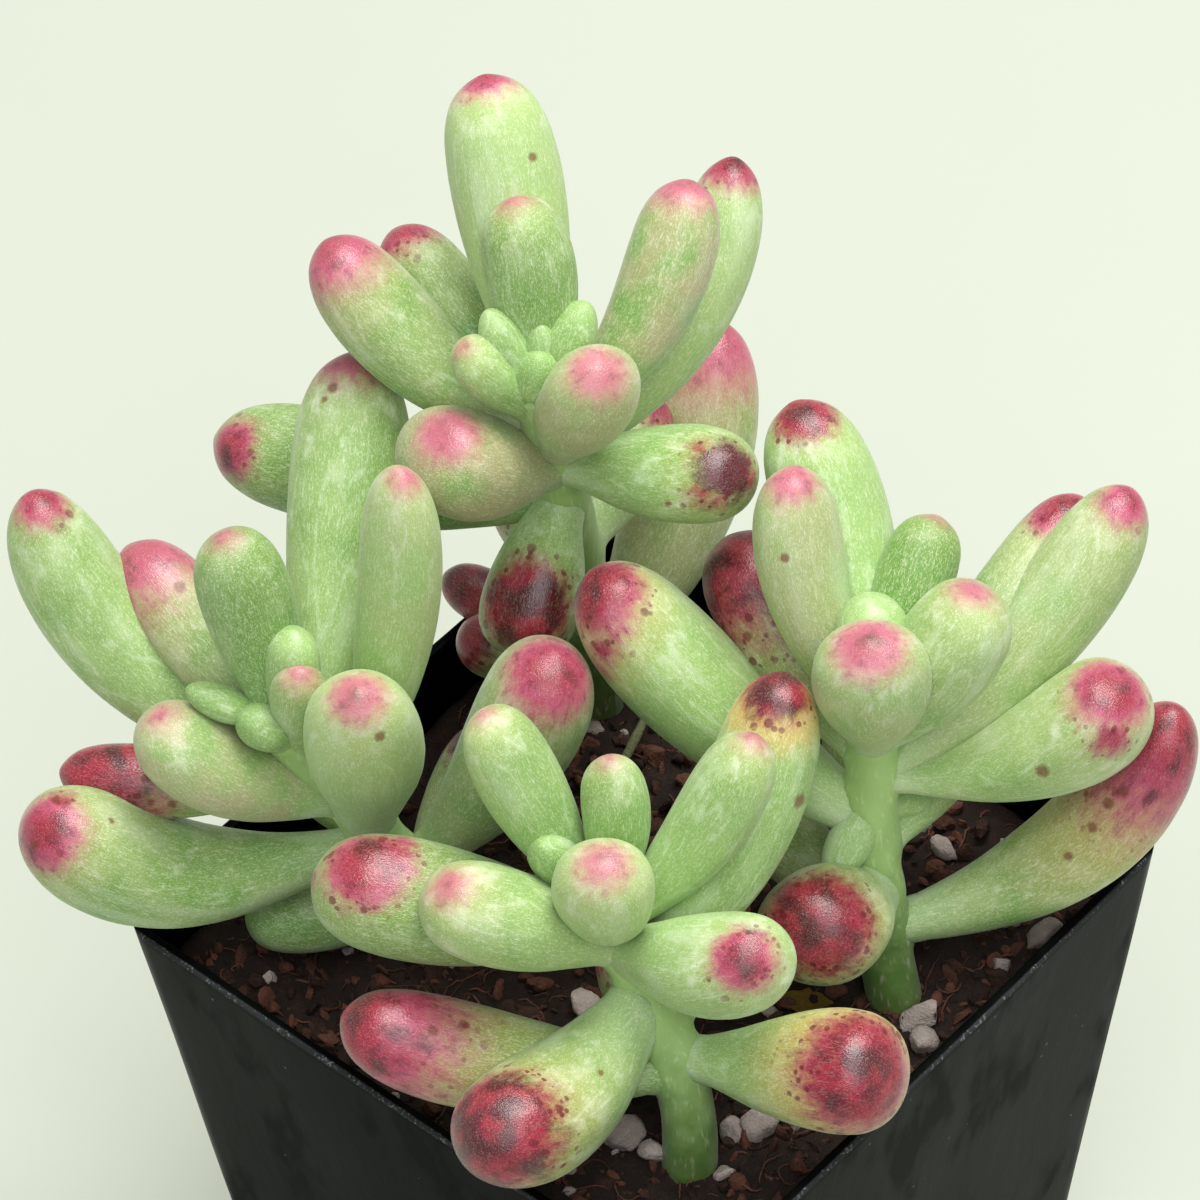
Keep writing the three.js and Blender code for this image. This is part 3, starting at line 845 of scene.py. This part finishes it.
class StemCurve:
    """A stem's centre line: straight from its foot in the mix, then a curve to its tip."""

    SAMPLES = 200

    def __init__(self, stem):
        t = np.linspace(0, 1, self.SAMPLES + 1)[:, None]
        root, pull, top = (np.array(p, float) for p in (stem.root, stem.pull, stem.top))
        self.points = (1 - t) ** 2 * root + 2 * t * (1 - t) * pull + t**2 * top
        self.tangents = unit(2 * (1 - t) * (pull - root) + 2 * t * (top - pull))
        steps = np.linalg.norm(np.diff(self.points, axis=0), axis=1)
        self.lengths = np.concatenate([[0], np.cumsum(steps)])
        self.radii = np.interp(t[:, 0], [0, 1], STEM_RADII)

    def at(self, height, table):
        """What the table of points or tangents says at a height, or at each of many."""
        return np.stack([np.interp(height, self.lengths, table[:, k]) for k in range(3)], axis=-1)

    def distance(self, points):
        """How far each point lies outside the stem's skin."""
        away = np.linalg.norm(points[:, None] - self.points[None, ::4], axis=2)
        return (away - self.radii[None, ::4]).min(axis=1)


class LeafShape:
    """A leaf's centre line, outline and the places on its skin."""

    def __init__(self, curve, leaf):
        yaw, pitch = math.radians(leaf.turn), math.radians(leaf.rise)
        self.leaf = leaf
        self.base = curve.at(leaf.height, curve.points)
        flat = math.cos(pitch)
        self.along = np.array([math.cos(yaw) * flat, math.sin(yaw) * flat, math.sin(pitch)])
        self.level = np.array([math.sin(yaw), -math.cos(yaw), 0.0])
        self.above = np.cross(self.level, self.along)
        self.is_bud = leaf.length < BUD_LENGTH
        profile = np.array(BUD_PROFILE if self.is_bud else LEAF_PROFILE)
        self.stations, self.squares = profile[:, 0], profile[:, 1] ** 2

    def centres(self, s):
        s = np.asarray(s, float)[..., None]
        bulge = s * (1 - s) * self.leaf.length
        hollow = math.tan(math.radians(self.leaf.bend) / 2)
        bow = math.tan(math.radians(self.leaf.sweep) / 2)
        straight = self.base + s * self.leaf.length * self.along
        return straight + bulge * (bow * self.level - hollow * self.above)

    def axes(self, s):
        """Along, side and above at each share of the length."""
        step = 0.01
        along = unit(self.centres(s + step) - self.centres(s - step))
        side = unit(self.level - along * (along @ self.level)[:, None])
        return along, side, np.cross(side, along)

    def half_widths(self, s):
        squares = smooth_through(self.stations, self.squares, s)
        thickened = 1 + self.leaf.club * (np.asarray(s) - CLUB_PIVOT)
        return np.sqrt(np.maximum(squares, 0)) * thickened * self.leaf.width / 2

    def skin_point(self, s, around):
        """The point at share s of the length, around degrees from the leaf's side."""
        s = np.array([s], float)
        _, side, above = self.axes(s)
        half = self.half_widths(s)
        turn = math.radians(around)
        across = math.cos(turn) * side - LEAF_THICKNESS * math.sin(turn) * above
        return (self.centres(s) + half[:, None] * across)[0]

    def distance(self, points):
        """About how far each point lies outside the leaf."""
        s = np.linspace(0.02, 0.98, 25)
        away = np.linalg.norm(points[:, None] - self.centres(s)[None], axis=2)
        return (away - self.half_widths(s)[None]).min(axis=1)


def fillet(points, across, along, distance):
    """Points near another surface swell a little, so that the two flow into each other."""
    outward = np.concatenate([unit(across).reshape(-1, 3), -along[:1], along[-1:]])
    nearness = np.clip(1 - np.abs(distance) / FILLET, 0, 1)
    return points + outward * (nearness**2 * FILLET / 4)[:, None]


def cap_depth(reach, away):
    """How far inside a red cap points lie; the edges of wide caps are spread out."""
    return (reach - away) * min(1.0, SHARP_REACH / reach)


def leaf_skin(curve, shape, settings, random):
    """Points, side count and ring count of one leaf, with its colour attributes."""
    leaf = shape.leaf
    small = BUD_FINENESS if shape.is_bud else 1.0
    sides = int(settings.sides * small)
    rings = int(settings.rings * small)
    s = 1 - (1 - np.arange(rings) / rings) ** TIP_CROWDING
    along, side, above = shape.axes(s)
    turn = ring_angles(sides)
    phases = random.uniform(0, 2 * math.pi, len(LEAF_FACETS))
    facets = sum(
        depth * np.cos(waves * turn[None] + phase + winding * s[:, None])
        for (depth, waves, winding), phase in zip(LEAF_FACETS, phases)
    )
    uneven = settings.unevenness * np.sin(math.pi * s)[:, None] * facets
    radius = shape.half_widths(s)[:, None] * (1 + uneven)
    across = ring_directions(side, above, sides, LEAF_THICKNESS)
    points = tube_points(shape.centres(s), radius, across, shape.centres([0.0, 1.0]))

    # A small blunt point at the tip, and a soft foot where the leaf meets the stem
    to_tip = np.linalg.norm(points - points[-1], axis=1)
    nub = random.uniform(0.03, 0.13) * small
    nub_reach = NUB_RADIUS * small
    points = points + along[-1] * (nub * np.exp(-((to_tip / nub_reach) ** 2)))[:, None]
    points = fillet(points, across, along, curve.distance(points))

    # Its colour fields: inside is how many millimetres a point lies within a red cap
    count = len(points)
    inside = cap_depth(leaf.reach, to_tip) if leaf.reach else np.full(count, LEAST_INSIDE)
    ripeness = np.full(count, leaf.ripeness)
    for place, around, reach, ripe in leaf.patches:
        patch = cap_depth(reach, np.linalg.norm(points - shape.skin_point(place, around), axis=1))
        ripeness = np.where(patch > inside, ripe, ripeness)
        inside = np.maximum(inside, patch)
    shift = random.uniform(0, GRAIN_RANGE, 3)
    lengthwise = with_ends(np.repeat(s, sides), 1.0)
    turns = with_ends(np.tile(turn, rings))
    out = with_ends(radius)
    grain = [out * np.cos(turns), out * np.sin(turns), lengthwise * leaf.length]
    fields = {
        "grain": np.stack(grain, axis=1) + shift,
        "along": lengthwise,
        "inside": np.maximum(inside, LEAST_INSIDE),
        "ripeness": ripeness,
        "gold": np.full(count, leaf.gold),
        "blush": np.full(count, leaf.blush),
        # A whole leaf's tone, which also holds its painted shade and painted light
        "tone": np.full(count, leaf.tone + random.uniform(-0.06, 0.06)),
    }
    return points, sides, rings, fields


def stem_skin(curve, shapes):
    """Points, side count and ring count of a stem and its root, with its attributes."""
    s = np.linspace(0, 1, STEM_RINGS)
    run = s * (curve.lengths[-1] + ROOT_DEPTH) - ROOT_DEPTH
    centre = curve.at(run, curve.points) + np.minimum(run, 0)[:, None] * curve.tangents[0]
    along = unit(curve.at(run, curve.tangents))
    side = unit(np.array([1.0, 0.0, 0.0]) - along * along[:, :1])
    radius = np.interp(run, curve.lengths, curve.radii)
    across = ring_directions(side, np.cross(side, along), STEM_SIDES)
    points = tube_points(centre, radius[:, None], across, centre[[0, -1]])
    nearest = np.min([shape.distance(points) for shape in shapes], axis=0)
    points = fillet(points, across, along, nearest)
    fields = {"along": with_ends(np.repeat(s, STEM_SIDES), 1.0), "grain": points}
    return points, STEM_SIDES, STEM_RINGS, fields


# The pot


def rounded_square(side, radius, corner_steps, side_steps):
    """Points round a square with rounded corners, starting on +X, in millimetres."""
    points = []
    inset = side / 2 - radius
    for corner in range(4):
        quarter = corner * math.pi / 2
        cos, sin = math.cos(quarter), math.sin(quarter)
        turned = np.array([[cos, -sin], [sin, cos]])
        middle = turned @ np.array([inset, inset])
        for step in range(corner_steps):
            angle = quarter + step / corner_steps * math.pi / 2
            points.append(middle + radius * np.array([math.cos(angle), math.sin(angle)]))
        start = middle + radius * np.array([-sin, cos])
        way = turned @ np.array([-1.0, 0.0])
        for step in range(side_steps):
            points.append(start + way * (2 * inset * step / side_steps))
    return np.array(points)


def pot_side(z):
    return RIM_SIDE - POT_TAPER * (1 - z / POT_HEIGHT)


def pot_section(wall, edge):
    """The wall's outline as (inset from the outer face, height), from foot to inner floor."""
    foot, inner = POT_FOOT_ROUNDING, POT_INNER_ROUNDING
    angles = np.linspace(0, math.pi / 2, ROUNDING_RINGS)
    rounding = [(1 - math.sin(angle), 1 - math.cos(angle)) for angle in angles]
    below_rim = POT_HEIGHT - edge - POT_RIM_CLEAR
    above_floor = POT_FLOOR + POT_FLOOR_CLEAR
    outline = [(foot * a, foot * b) for a, b in rounding]
    outline += [(0.0, z) for z in np.linspace(POT_FOOT_CLEAR, below_rim, POT_OUTER_RINGS)]
    outline += [(edge * b, POT_HEIGHT - edge * a) for a, b in rounding]
    outline += [(wall - edge * a, POT_HEIGHT - edge * b) for a, b in rounding]
    outline += [(wall, z) for z in np.linspace(below_rim, above_floor, POT_INNER_RINGS)]
    outline += [(wall + inner * b, POT_FLOOR + inner * a) for a, b in rounding]
    return outline


def pot_points(settings):
    wall, edge, corner = settings.wall / MM, settings.rim_edge / MM, settings.corner / MM
    rings = []
    for inset, z in pot_section(wall, edge):
        radius = max(corner - inset, LEAST_CORNER)
        side = pot_side(z) - 2 * inset
        strayed = []
        for x, y in rounded_square(side, radius, POT_CORNER_STEPS, POT_SIDE_STEPS):
            bulge = sum(
                depth * noise.noise(Vector((x * rate, y * rate, z * rise + start)))
                for depth, rate, rise, start in POT_WAVES
            )
            push = settings.waviness / MM * bulge * min(z / POT_HEIGHT * WAVE_GROWTH, 1.0)
            out = Vector((x, y)).normalized() * push
            strayed.append((x + out.x, y + out.y, z))
        rings.append(strayed)
    return rings


def cut_drains(piece):
    """Four round drain holes through the floor."""
    cutter_mesh = bmesh.new()
    for x in (-DRAIN_OFFSET, DRAIN_OFFSET):
        for y in (-DRAIN_OFFSET, DRAIN_OFFSET):
            bmesh.ops.create_cone(
                cutter_mesh,
                cap_ends=True,
                segments=DRAIN_SIDES,
                radius1=DRAIN_RADIUS * MM,
                radius2=DRAIN_RADIUS * MM,
                depth=DRAIN_CUT * MM,
                matrix=Matrix.Translation((x * MM, y * MM, 0)),
            )
    mesh = bpy.data.meshes.new("drain_cutter")
    cutter_mesh.to_mesh(mesh)
    cutter_mesh.free()
    cutter = add_object("drain_cutter", mesh)
    cut = piece.modifiers.new("drains", "BOOLEAN")
    cut.operation = "DIFFERENCE"
    cut.solver = "EXACT"
    cut.object = cutter
    bpy.context.view_layer.update()
    finished = piece.evaluated_get(bpy.context.evaluated_depsgraph_get())
    carved = bpy.data.meshes.new_from_object(finished)
    piece.modifiers.clear()
    piece.data = carved
    bpy.data.objects.remove(cutter)


# Potting mix


def mix_height(x, y):
    """The height of the mix's lumpy top at a place, in millimetres."""
    lumps = sum(
        height * noise.noise(Vector((x * rate, y * rate, start)))
        for height, rate, start in MIX_LUMPS
    )
    return MIX_LEVEL + lumps - MIX_SINK


def mix_outline(side, corner):
    return rounded_square(side, corner, MIX_CORNER_STEPS, MIX_SIDE_STEPS)


def mix_bed():
    """Rings of points from the middle of the mix's top to its edge, down and in again."""
    rings = []
    inset = POT_WALL + MIX_GAP
    level_side = pot_side(MIX_LEVEL) - 2 * inset
    for step in range(1, MIX_RINGS + 1):
        outline = mix_outline(level_side * step / MIX_RINGS, MIX_CORNER * step / MIX_RINGS)
        rings.append([(x, y, mix_height(x, y)) for x, y in outline])
    for z in np.linspace(MIX_LEVEL - MIX_SHOULDER, MIX_FOOT, MIX_SIDE_RINGS):
        outline = mix_outline(pot_side(z) - 2 * inset, MIX_CORNER)
        rings.append([(x, y, z) for x, y in outline])
    return rings


def mix_reach(margin):
    """How far from the middle the mix reaches, less a margin."""
    return pot_side(MIX_LEVEL) / 2 - POT_WALL - margin


def scatter_place(random, margin):
    half = mix_reach(margin)
    return random.uniform(-half, half, 2)


def crumb(random, size, subdivisions, flats):
    """One broken lump: a ball squashed and cut flat by random planes, in millimetres."""
    ball = bmesh.new()
    bmesh.ops.create_icosphere(ball, subdivisions=subdivisions, radius=1.0)
    points = np.array([v.co for v in ball.verts])
    faces = [[v.index for v in f.verts] for f in ball.faces]
    ball.free()
    for direction in unit(random.normal(size=(flats, 3))):
        over = np.maximum(points @ direction - random.uniform(*CRUMB_CUTS), 0)
        points = points - over[:, None] * direction
    points = points * (1 + random.normal(scale=CRUMB_ROUGHNESS, size=(len(points), 1)))
    turn, _ = np.linalg.qr(random.normal(size=(3, 3)))
    return points * (np.array(size) / 2) @ turn, faces


def crumbs(random, places, subdivisions, flats):
    """Points and faces of crumbs at places of (x, y, size in three ways, sink)."""
    for x, y, size, sink in places:
        points, faces = crumb(random, size, subdivisions, flats)
        rise = mix_height(x, y) + max(size) * (0.5 - sink) * CRUMB_RISE
        yield points + np.array([x, y, rise]), faces


def joined(random, bits):
    """The points and faces of many bits as one, with a random tint for each bit."""
    vertices, faces, tint = [], [], []
    start = 0
    for points, bit_faces in bits:
        vertices.append(points)
        faces += [[start + k for k in face] for face in bit_faces]
        tint += [random.uniform(0, 1)] * len(points)
        start += len(points)
    return np.concatenate(vertices), faces, {"tint": tint}


def fibre(random, sides=5, steps=9):
    """One curled strand of coir lying on the mix."""
    x, y = scatter_place(random, FIBRE_MARGIN)
    heading = random.uniform(0, 2 * math.pi)
    curl = random.normal(scale=0.25)
    reach = random.uniform(1.2, 5.0)
    thickness = random.uniform(0.04, 0.1)
    lift = random.uniform(-0.05, 0.35)
    limit = mix_reach(FIBRE_END_MARGIN)
    path = []
    for _ in range(steps):
        path.append((x, y, mix_height(x, y) + lift + thickness))
        heading += curl + random.normal(scale=0.15)
        step_x, step_y = math.cos(heading) * reach / steps, math.sin(heading) * reach / steps
        x = min(max(x + step_x, -limit), limit)
        y = min(max(y + step_y, -limit), limit)
    path = np.array(path)
    along = unit(np.gradient(path, axis=0) + 1e-6)
    side = unit(np.cross(along, [0.0, 0.0, 1.0]) + 1e-9)
    taper = thickness * (1 - 0.7 * np.linspace(-1, 1, steps) ** 4)
    across = ring_directions(side, np.cross(side, along), sides)
    points = tube_points(path, taper[:, None], across, path[[0, -1]])
    return points, tube_faces(sides, steps)


def swept_ring(centres, half_widths, half_heights, cup=0.0, sides=20):
    """Flattened rings along a path, with their edges lifted by cup, and the two end points."""
    along = unit(np.gradient(centres, axis=0))
    side = unit(np.cross(along, [0.0, 0.0, 1.0]))
    above = np.cross(side, along)
    turn = ring_angles(sides)[None, :, None]
    wide = half_widths[:, None, None] * np.cos(turn)
    high = half_heights[:, None, None] * np.sin(turn)
    lift = high + cup * wide * np.cos(turn)
    skin = centres[:, None] + wide * side[:, None] + lift * above[:, None]
    points = np.concatenate([skin.reshape(-1, 3), centres[[0, -1]]])
    return points, tube_faces(sides, len(centres))


def dry_leaf_mesh():
    """A shrivelled leaf, curled up at its edges and tip."""
    x, y, heading, size, width = DRY_LEAF
    s = np.linspace(0.02, 0.98, 26)
    run = (s - 0.5) * size
    turn = math.radians(heading)
    rise = 0.45 + 1.1 * s**3
    wander = 0.25 * np.sin(5 * s)
    places = [x + run * math.cos(turn) + wander, y + run * math.sin(turn), mix_height(x, y) + rise]
    centres = np.stack(places, axis=1)
    half = width / 2 * np.sin(math.pi * s**0.8) ** 0.8 * (1 + 0.1 * np.sin(19 * s))
    return swept_ring(centres, np.maximum(half, 0.05), 0.04 + 0.1 * half, 0.45)


def dry_stalk_mesh():
    first, last = (np.array(end) for end in DRY_STALK)
    s = np.linspace(0, 1, 30)
    centres = first + s[:, None] * (last - first)
    centres[:, 0] += 0.25 * np.sin(4.2 * s)
    radius = DRY_STALK_RADIUS * (1 - 0.25 * s) * (1 + 0.08 * np.sin(23 * s))
    return swept_ring(centres, radius, radius * 0.85)


# Operators


class SEDUM_OT_nursery_pot(bpy.types.Operator):
    """Build the square tapered pot with its worn rim, a highlight painted along its edge, and drain
    holes
    """

    bl_idname = "sedum.nursery_pot"
    bl_label = "Nursery pot"

    def execute(self, context):
        settings = context.scene.sedum_pot
        rings = pot_points(settings)
        sides = len(rings[0])
        points = [point for ring in rings for point in ring] + [(0, 0, 0), (0, 0, POT_FLOOR)]
        faces = tube_faces(sides, len(rings))
        piece = make_piece("nursery_pot", points, faces, pot_material(settings), "pot_plastic")
        cut_drains(piece)
        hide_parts("pot")
        return {"FINISHED"}


class SEDUM_OT_mix_bed(bpy.types.Operator):
    """Build the lumpy bed of fine potting mix"""

    bl_idname = "sedum.mix_bed"
    bl_label = "Mix bed"

    def execute(self, context):
        settings = context.scene.sedum_mix
        rings = mix_bed()
        points = [point for ring in rings for point in ring]
        points += [(0, 0, mix_height(0, 0)), (0, 0, MIX_FOOT)]
        faces = [face[::-1] for face in tube_faces(len(rings[0]), len(rings))]
        material = crumb_material("fine_mix", settings.bark, settings.peat, tint_spread=0.0)
        piece = make_piece("mix_bed", points, faces, material, "potting_mix")
        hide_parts("potting_mix")
        return {"FINISHED"}


class SEDUM_OT_bark_chips(bpy.types.Operator):
    """Scatter bark and peat chips over the mix"""

    bl_idname = "sedum.bark_chips"
    bl_label = "Bark chips"

    def execute(self, context):
        settings = context.scene.sedum_mix
        random = np.random.default_rng(CHIP_SEED)
        places = []
        for _ in range(settings.chips):
            x, y = scatter_place(random, CRUMB_MARGIN)
            longest = 0.4 + 2.3 * random.uniform(0, 1) ** 2.2
            size = longest * np.array([1.0, random.uniform(0.4, 0.9), random.uniform(0.3, 0.7)])
            places.append((x, y, size, random.uniform(0.2, 0.7)))
        points, faces, tint = joined(random, crumbs(random, places, subdivisions=2, flats=6))
        material = crumb_material("bark", settings.bark, settings.peat)
        make_piece("bark_chips", points, faces, material, "potting_mix", tint, smooth=False)
        return {"FINISHED"}


class SEDUM_OT_coir_fibres(bpy.types.Operator):
    """Strew curled coir fibres over the mix"""

    bl_idname = "sedum.coir_fibres"
    bl_label = "Coir fibres"

    def execute(self, context):
        settings = context.scene.sedum_mix
        random = np.random.default_rng(FIBRE_SEED)
        fibres = (fibre(random) for _ in range(settings.fibres))
        points, faces, tint = joined(random, fibres)
        material = crumb_material("coir", shade(settings.bark, 1.5), settings.peat)
        make_piece("coir_fibres", points, faces, material, "potting_mix", tint)
        return {"FINISHED"}


class SEDUM_OT_perlite(bpy.types.Operator):
    """Set white perlite where the photograph shows it, and scatter more"""

    bl_idname = "sedum.perlite"
    bl_label = "Perlite"

    def execute(self, context):
        settings = context.scene.sedum_mix
        random = np.random.default_rng(PERLITE_SEED)
        places = []
        for x, y, size in SEEN_PERLITE:
            shape = np.array([1.0, random.uniform(0.6, 0.95), 0.7])
            places.append((x, y, PERLITE_SPREAD * size * shape, 0.2))
        for _ in range(settings.grains):
            x, y = scatter_place(random, CRUMB_MARGIN)
            size = random.uniform(0.6, 2.2) * np.array([1.0, random.uniform(0.6, 1.0), 0.7])
            places.append((x, y, size, random.uniform(0.3, 0.75)))
        points, faces, tint = joined(random, crumbs(random, places, subdivisions=3, flats=9))
        dark = shade(settings.perlite, 0.45)
        material = crumb_material("perlite", settings.perlite, dark, tint_spread=0.5, roughness=0.75)
        make_piece("perlite", points, faces, material, "potting_mix", tint)
        return {"FINISHED"}


class SEDUM_OT_dry_bits(bpy.types.Operator):
    """Lay a dried leaf and a dried stalk on the mix"""

    bl_idname = "sedum.dry_bits"
    bl_label = "Dry leaf and stalk"

    def execute(self, context):
        settings = context.scene.sedum_mix
        for name, mesh, tone in (
            ("dry_leaf", dry_leaf_mesh(), settings.dry_leaf),
            ("dry_stalk", dry_stalk_mesh(), settings.dry_stalk),
        ):
            dark = shade(tone, 0.35)
            material = crumb_material(name, tone, dark, tint_spread=0.0, roughness=0.6)
            make_piece(name, *mesh, material, "potting_mix")
        return {"FINISHED"}


class SEDUM_OT_leafy_stems(bpy.types.Operator):
    """Grow the four stems, each with its leaves and young tips"""

    bl_idname = "sedum.leafy_stems"
    bl_label = "Leafy stems"

    def execute(self, context):
        settings = context.scene.sedum_leaf
        bark = stem_material(settings)
        for number, (name, stem) in enumerate(STEMS.items()):
            self.grow(name, stem, settings, bark, np.random.default_rng(STEM_SEED + number))
        return {"FINISHED"}

    def grow(self, name, stem, settings, bark, random):
        curve = StemCurve(stem)
        shapes = [LeafShape(curve, leaf) for leaf in stem.leaves]
        scars = [
            (tuple(shape.skin_point(place, around)), radius)
            for shape in shapes
            for place, around, radius in shape.leaf.scars
        ]
        piece_name = name.replace("leafy_stem", "sedum")
        skin = leaf_material(piece_name + "_leaves", settings, scars)
        blocks = [leaf_skin(curve, shape, settings, random) for shape in shapes]
        blocks.append(stem_skin(curve, shapes))
        start = 0
        vertices, faces = [], []
        fields = {key: [] for key in blocks[0][3]}
        for points, sides, rings, values in blocks:
            leaf_faces = len(faces)
            vertices.append(points)
            faces += tube_faces(sides, rings, start)
            start += len(points)
            for key, stored in fields.items():
                stored.append(values.get(key, np.zeros(len(points))))
        fields = {key: np.concatenate(stored) for key, stored in fields.items()}
        piece = make_piece(piece_name, np.concatenate(vertices), faces, skin, "sedum_leaf", fields)
        piece.data.materials.append(bark)
        indices = [0] * leaf_faces + [1] * (len(faces) - leaf_faces)
        piece.data.polygons.foreach_set("material_index", indices)
        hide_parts(name)


class SEDUM_OT_stage(bpy.types.Operator):
    """Lay the floor and set the lights and the camera"""

    bl_idname = "sedum.stage"
    bl_label = "Stage"

    def execute(self, context):
        settings = context.scene.sedum_stage
        self.floor(settings)
        self.sky(context.scene, settings)
        for name in SOFTBOXES:
            self.softbox(name, getattr(settings, name))
        self.camera(context.scene)
        context.scene.view_settings.view_transform = "Standard"
        return {"FINISHED"}

    def floor(self, settings):
        mesh = bpy.data.meshes.new("floor")
        ways = [(-1, -1), (1, -1), (1, 1), (-1, 1)]
        mesh.from_pydata([(x * FLOOR_HALF, y * FLOOR_HALF, 0) for x, y in ways], [], [(0, 1, 2, 3)])
        mesh.materials.append(floor_material(settings))
        plane = add_object("floor", mesh)

    def sky(self, scene, settings):
        world = bpy.data.worlds.new("even_light")
        world.use_nodes = True
        background = world.node_tree.nodes["Background"]
        background.inputs["Color"].default_value = SKY_TINT
        background.inputs["Strength"].default_value = settings.sky
        scene.world = world

    def direction(self, azimuth, elevation):
        a, e = math.radians(azimuth), math.radians(elevation)
        return Vector((math.sin(a) * math.cos(e), -math.cos(a) * math.cos(e), math.sin(e)))

    def softbox(self, name, power):
        azimuth, elevation, size, tint = SOFTBOXES[name]
        light = bpy.data.lights.new(name, "AREA")
        light.shape = "SQUARE"
        light.size = size
        light.energy = power
        light.color = tint
        lamp = add_object(name, light)
        way = self.direction(azimuth, elevation)
        lamp.location = Vector(LIGHT_AIM) + way * LIGHT_DISTANCE
        lamp.rotation_euler = way.to_track_quat("Z", "Y").to_euler()

    def camera(self, scene):
        back = self.direction(CAMERA_AZIMUTH, CAMERA_ELEVATION)
        azimuth, roll = math.radians(CAMERA_AZIMUTH), math.radians(CAMERA_ROLL)
        level = Vector((math.cos(azimuth), math.sin(azimuth), 0))
        upright = back.cross(level)
        right = math.cos(roll) * level - math.sin(roll) * upright
        up = math.sin(roll) * level + math.cos(roll) * upright
        data = bpy.data.cameras.new("camera")
        data.sensor_width = SENSOR_WIDTH
        data.lens = SENSOR_WIDTH * CAMERA_FOCAL_PIXELS / PHOTO_PIXELS
        data.clip_start = 0.01
        data.clip_end = 10.0
        camera = add_object("camera", data)
        place = (Vector(CAMERA_TARGET) + back * CAMERA_DISTANCE) * MM
        turn = Matrix((right, up, back)).transposed().to_4x4()
        camera.matrix_world = Matrix.Translation(place) @ turn
        scene.camera = camera


STEPS = [
    SEDUM_OT_stage,
    SEDUM_OT_nursery_pot,
    SEDUM_OT_mix_bed,
    SEDUM_OT_bark_chips,
    SEDUM_OT_coir_fibres,
    SEDUM_OT_perlite,
    SEDUM_OT_dry_bits,
    SEDUM_OT_leafy_stems,
]


class SEDUM_PT_parts(bpy.types.Panel):
    """Lists the settings and the steps that build the potted sedum"""

    bl_label = "Potted Salsa Sedum"
    bl_idname = "SEDUM_PT_parts"
    bl_space_type = "VIEW_3D"
    bl_region_type = "UI"
    bl_category = "Sedum"

    def draw(self, context):
        for name, group in SETTINGS.items():
            box = self.layout.box()
            box.label(text=name.replace("_", " ").capitalize())
            for field in group.__annotations__:
                box.prop(getattr(context.scene, name), field)
        for step in STEPS:
            self.layout.operator(step.bl_idname)


CLASSES = [*SETTINGS.values(), *STEPS, SEDUM_PT_parts]


def register():
    for cls in CLASSES:
        bpy.utils.register_class(cls)
    for name, group in SETTINGS.items():
        setattr(bpy.types.Scene, name, PointerProperty(type=group))


def unregister():
    for name in SETTINGS:
        delattr(bpy.types.Scene, name)
    for cls in reversed(CLASSES):
        bpy.utils.unregister_class(cls)


def main():
    register()
    for step in STEPS:
        getattr(bpy.ops.sedum, step.bl_idname.removeprefix("sedum."))()


if __name__ == "__main__":
    main()
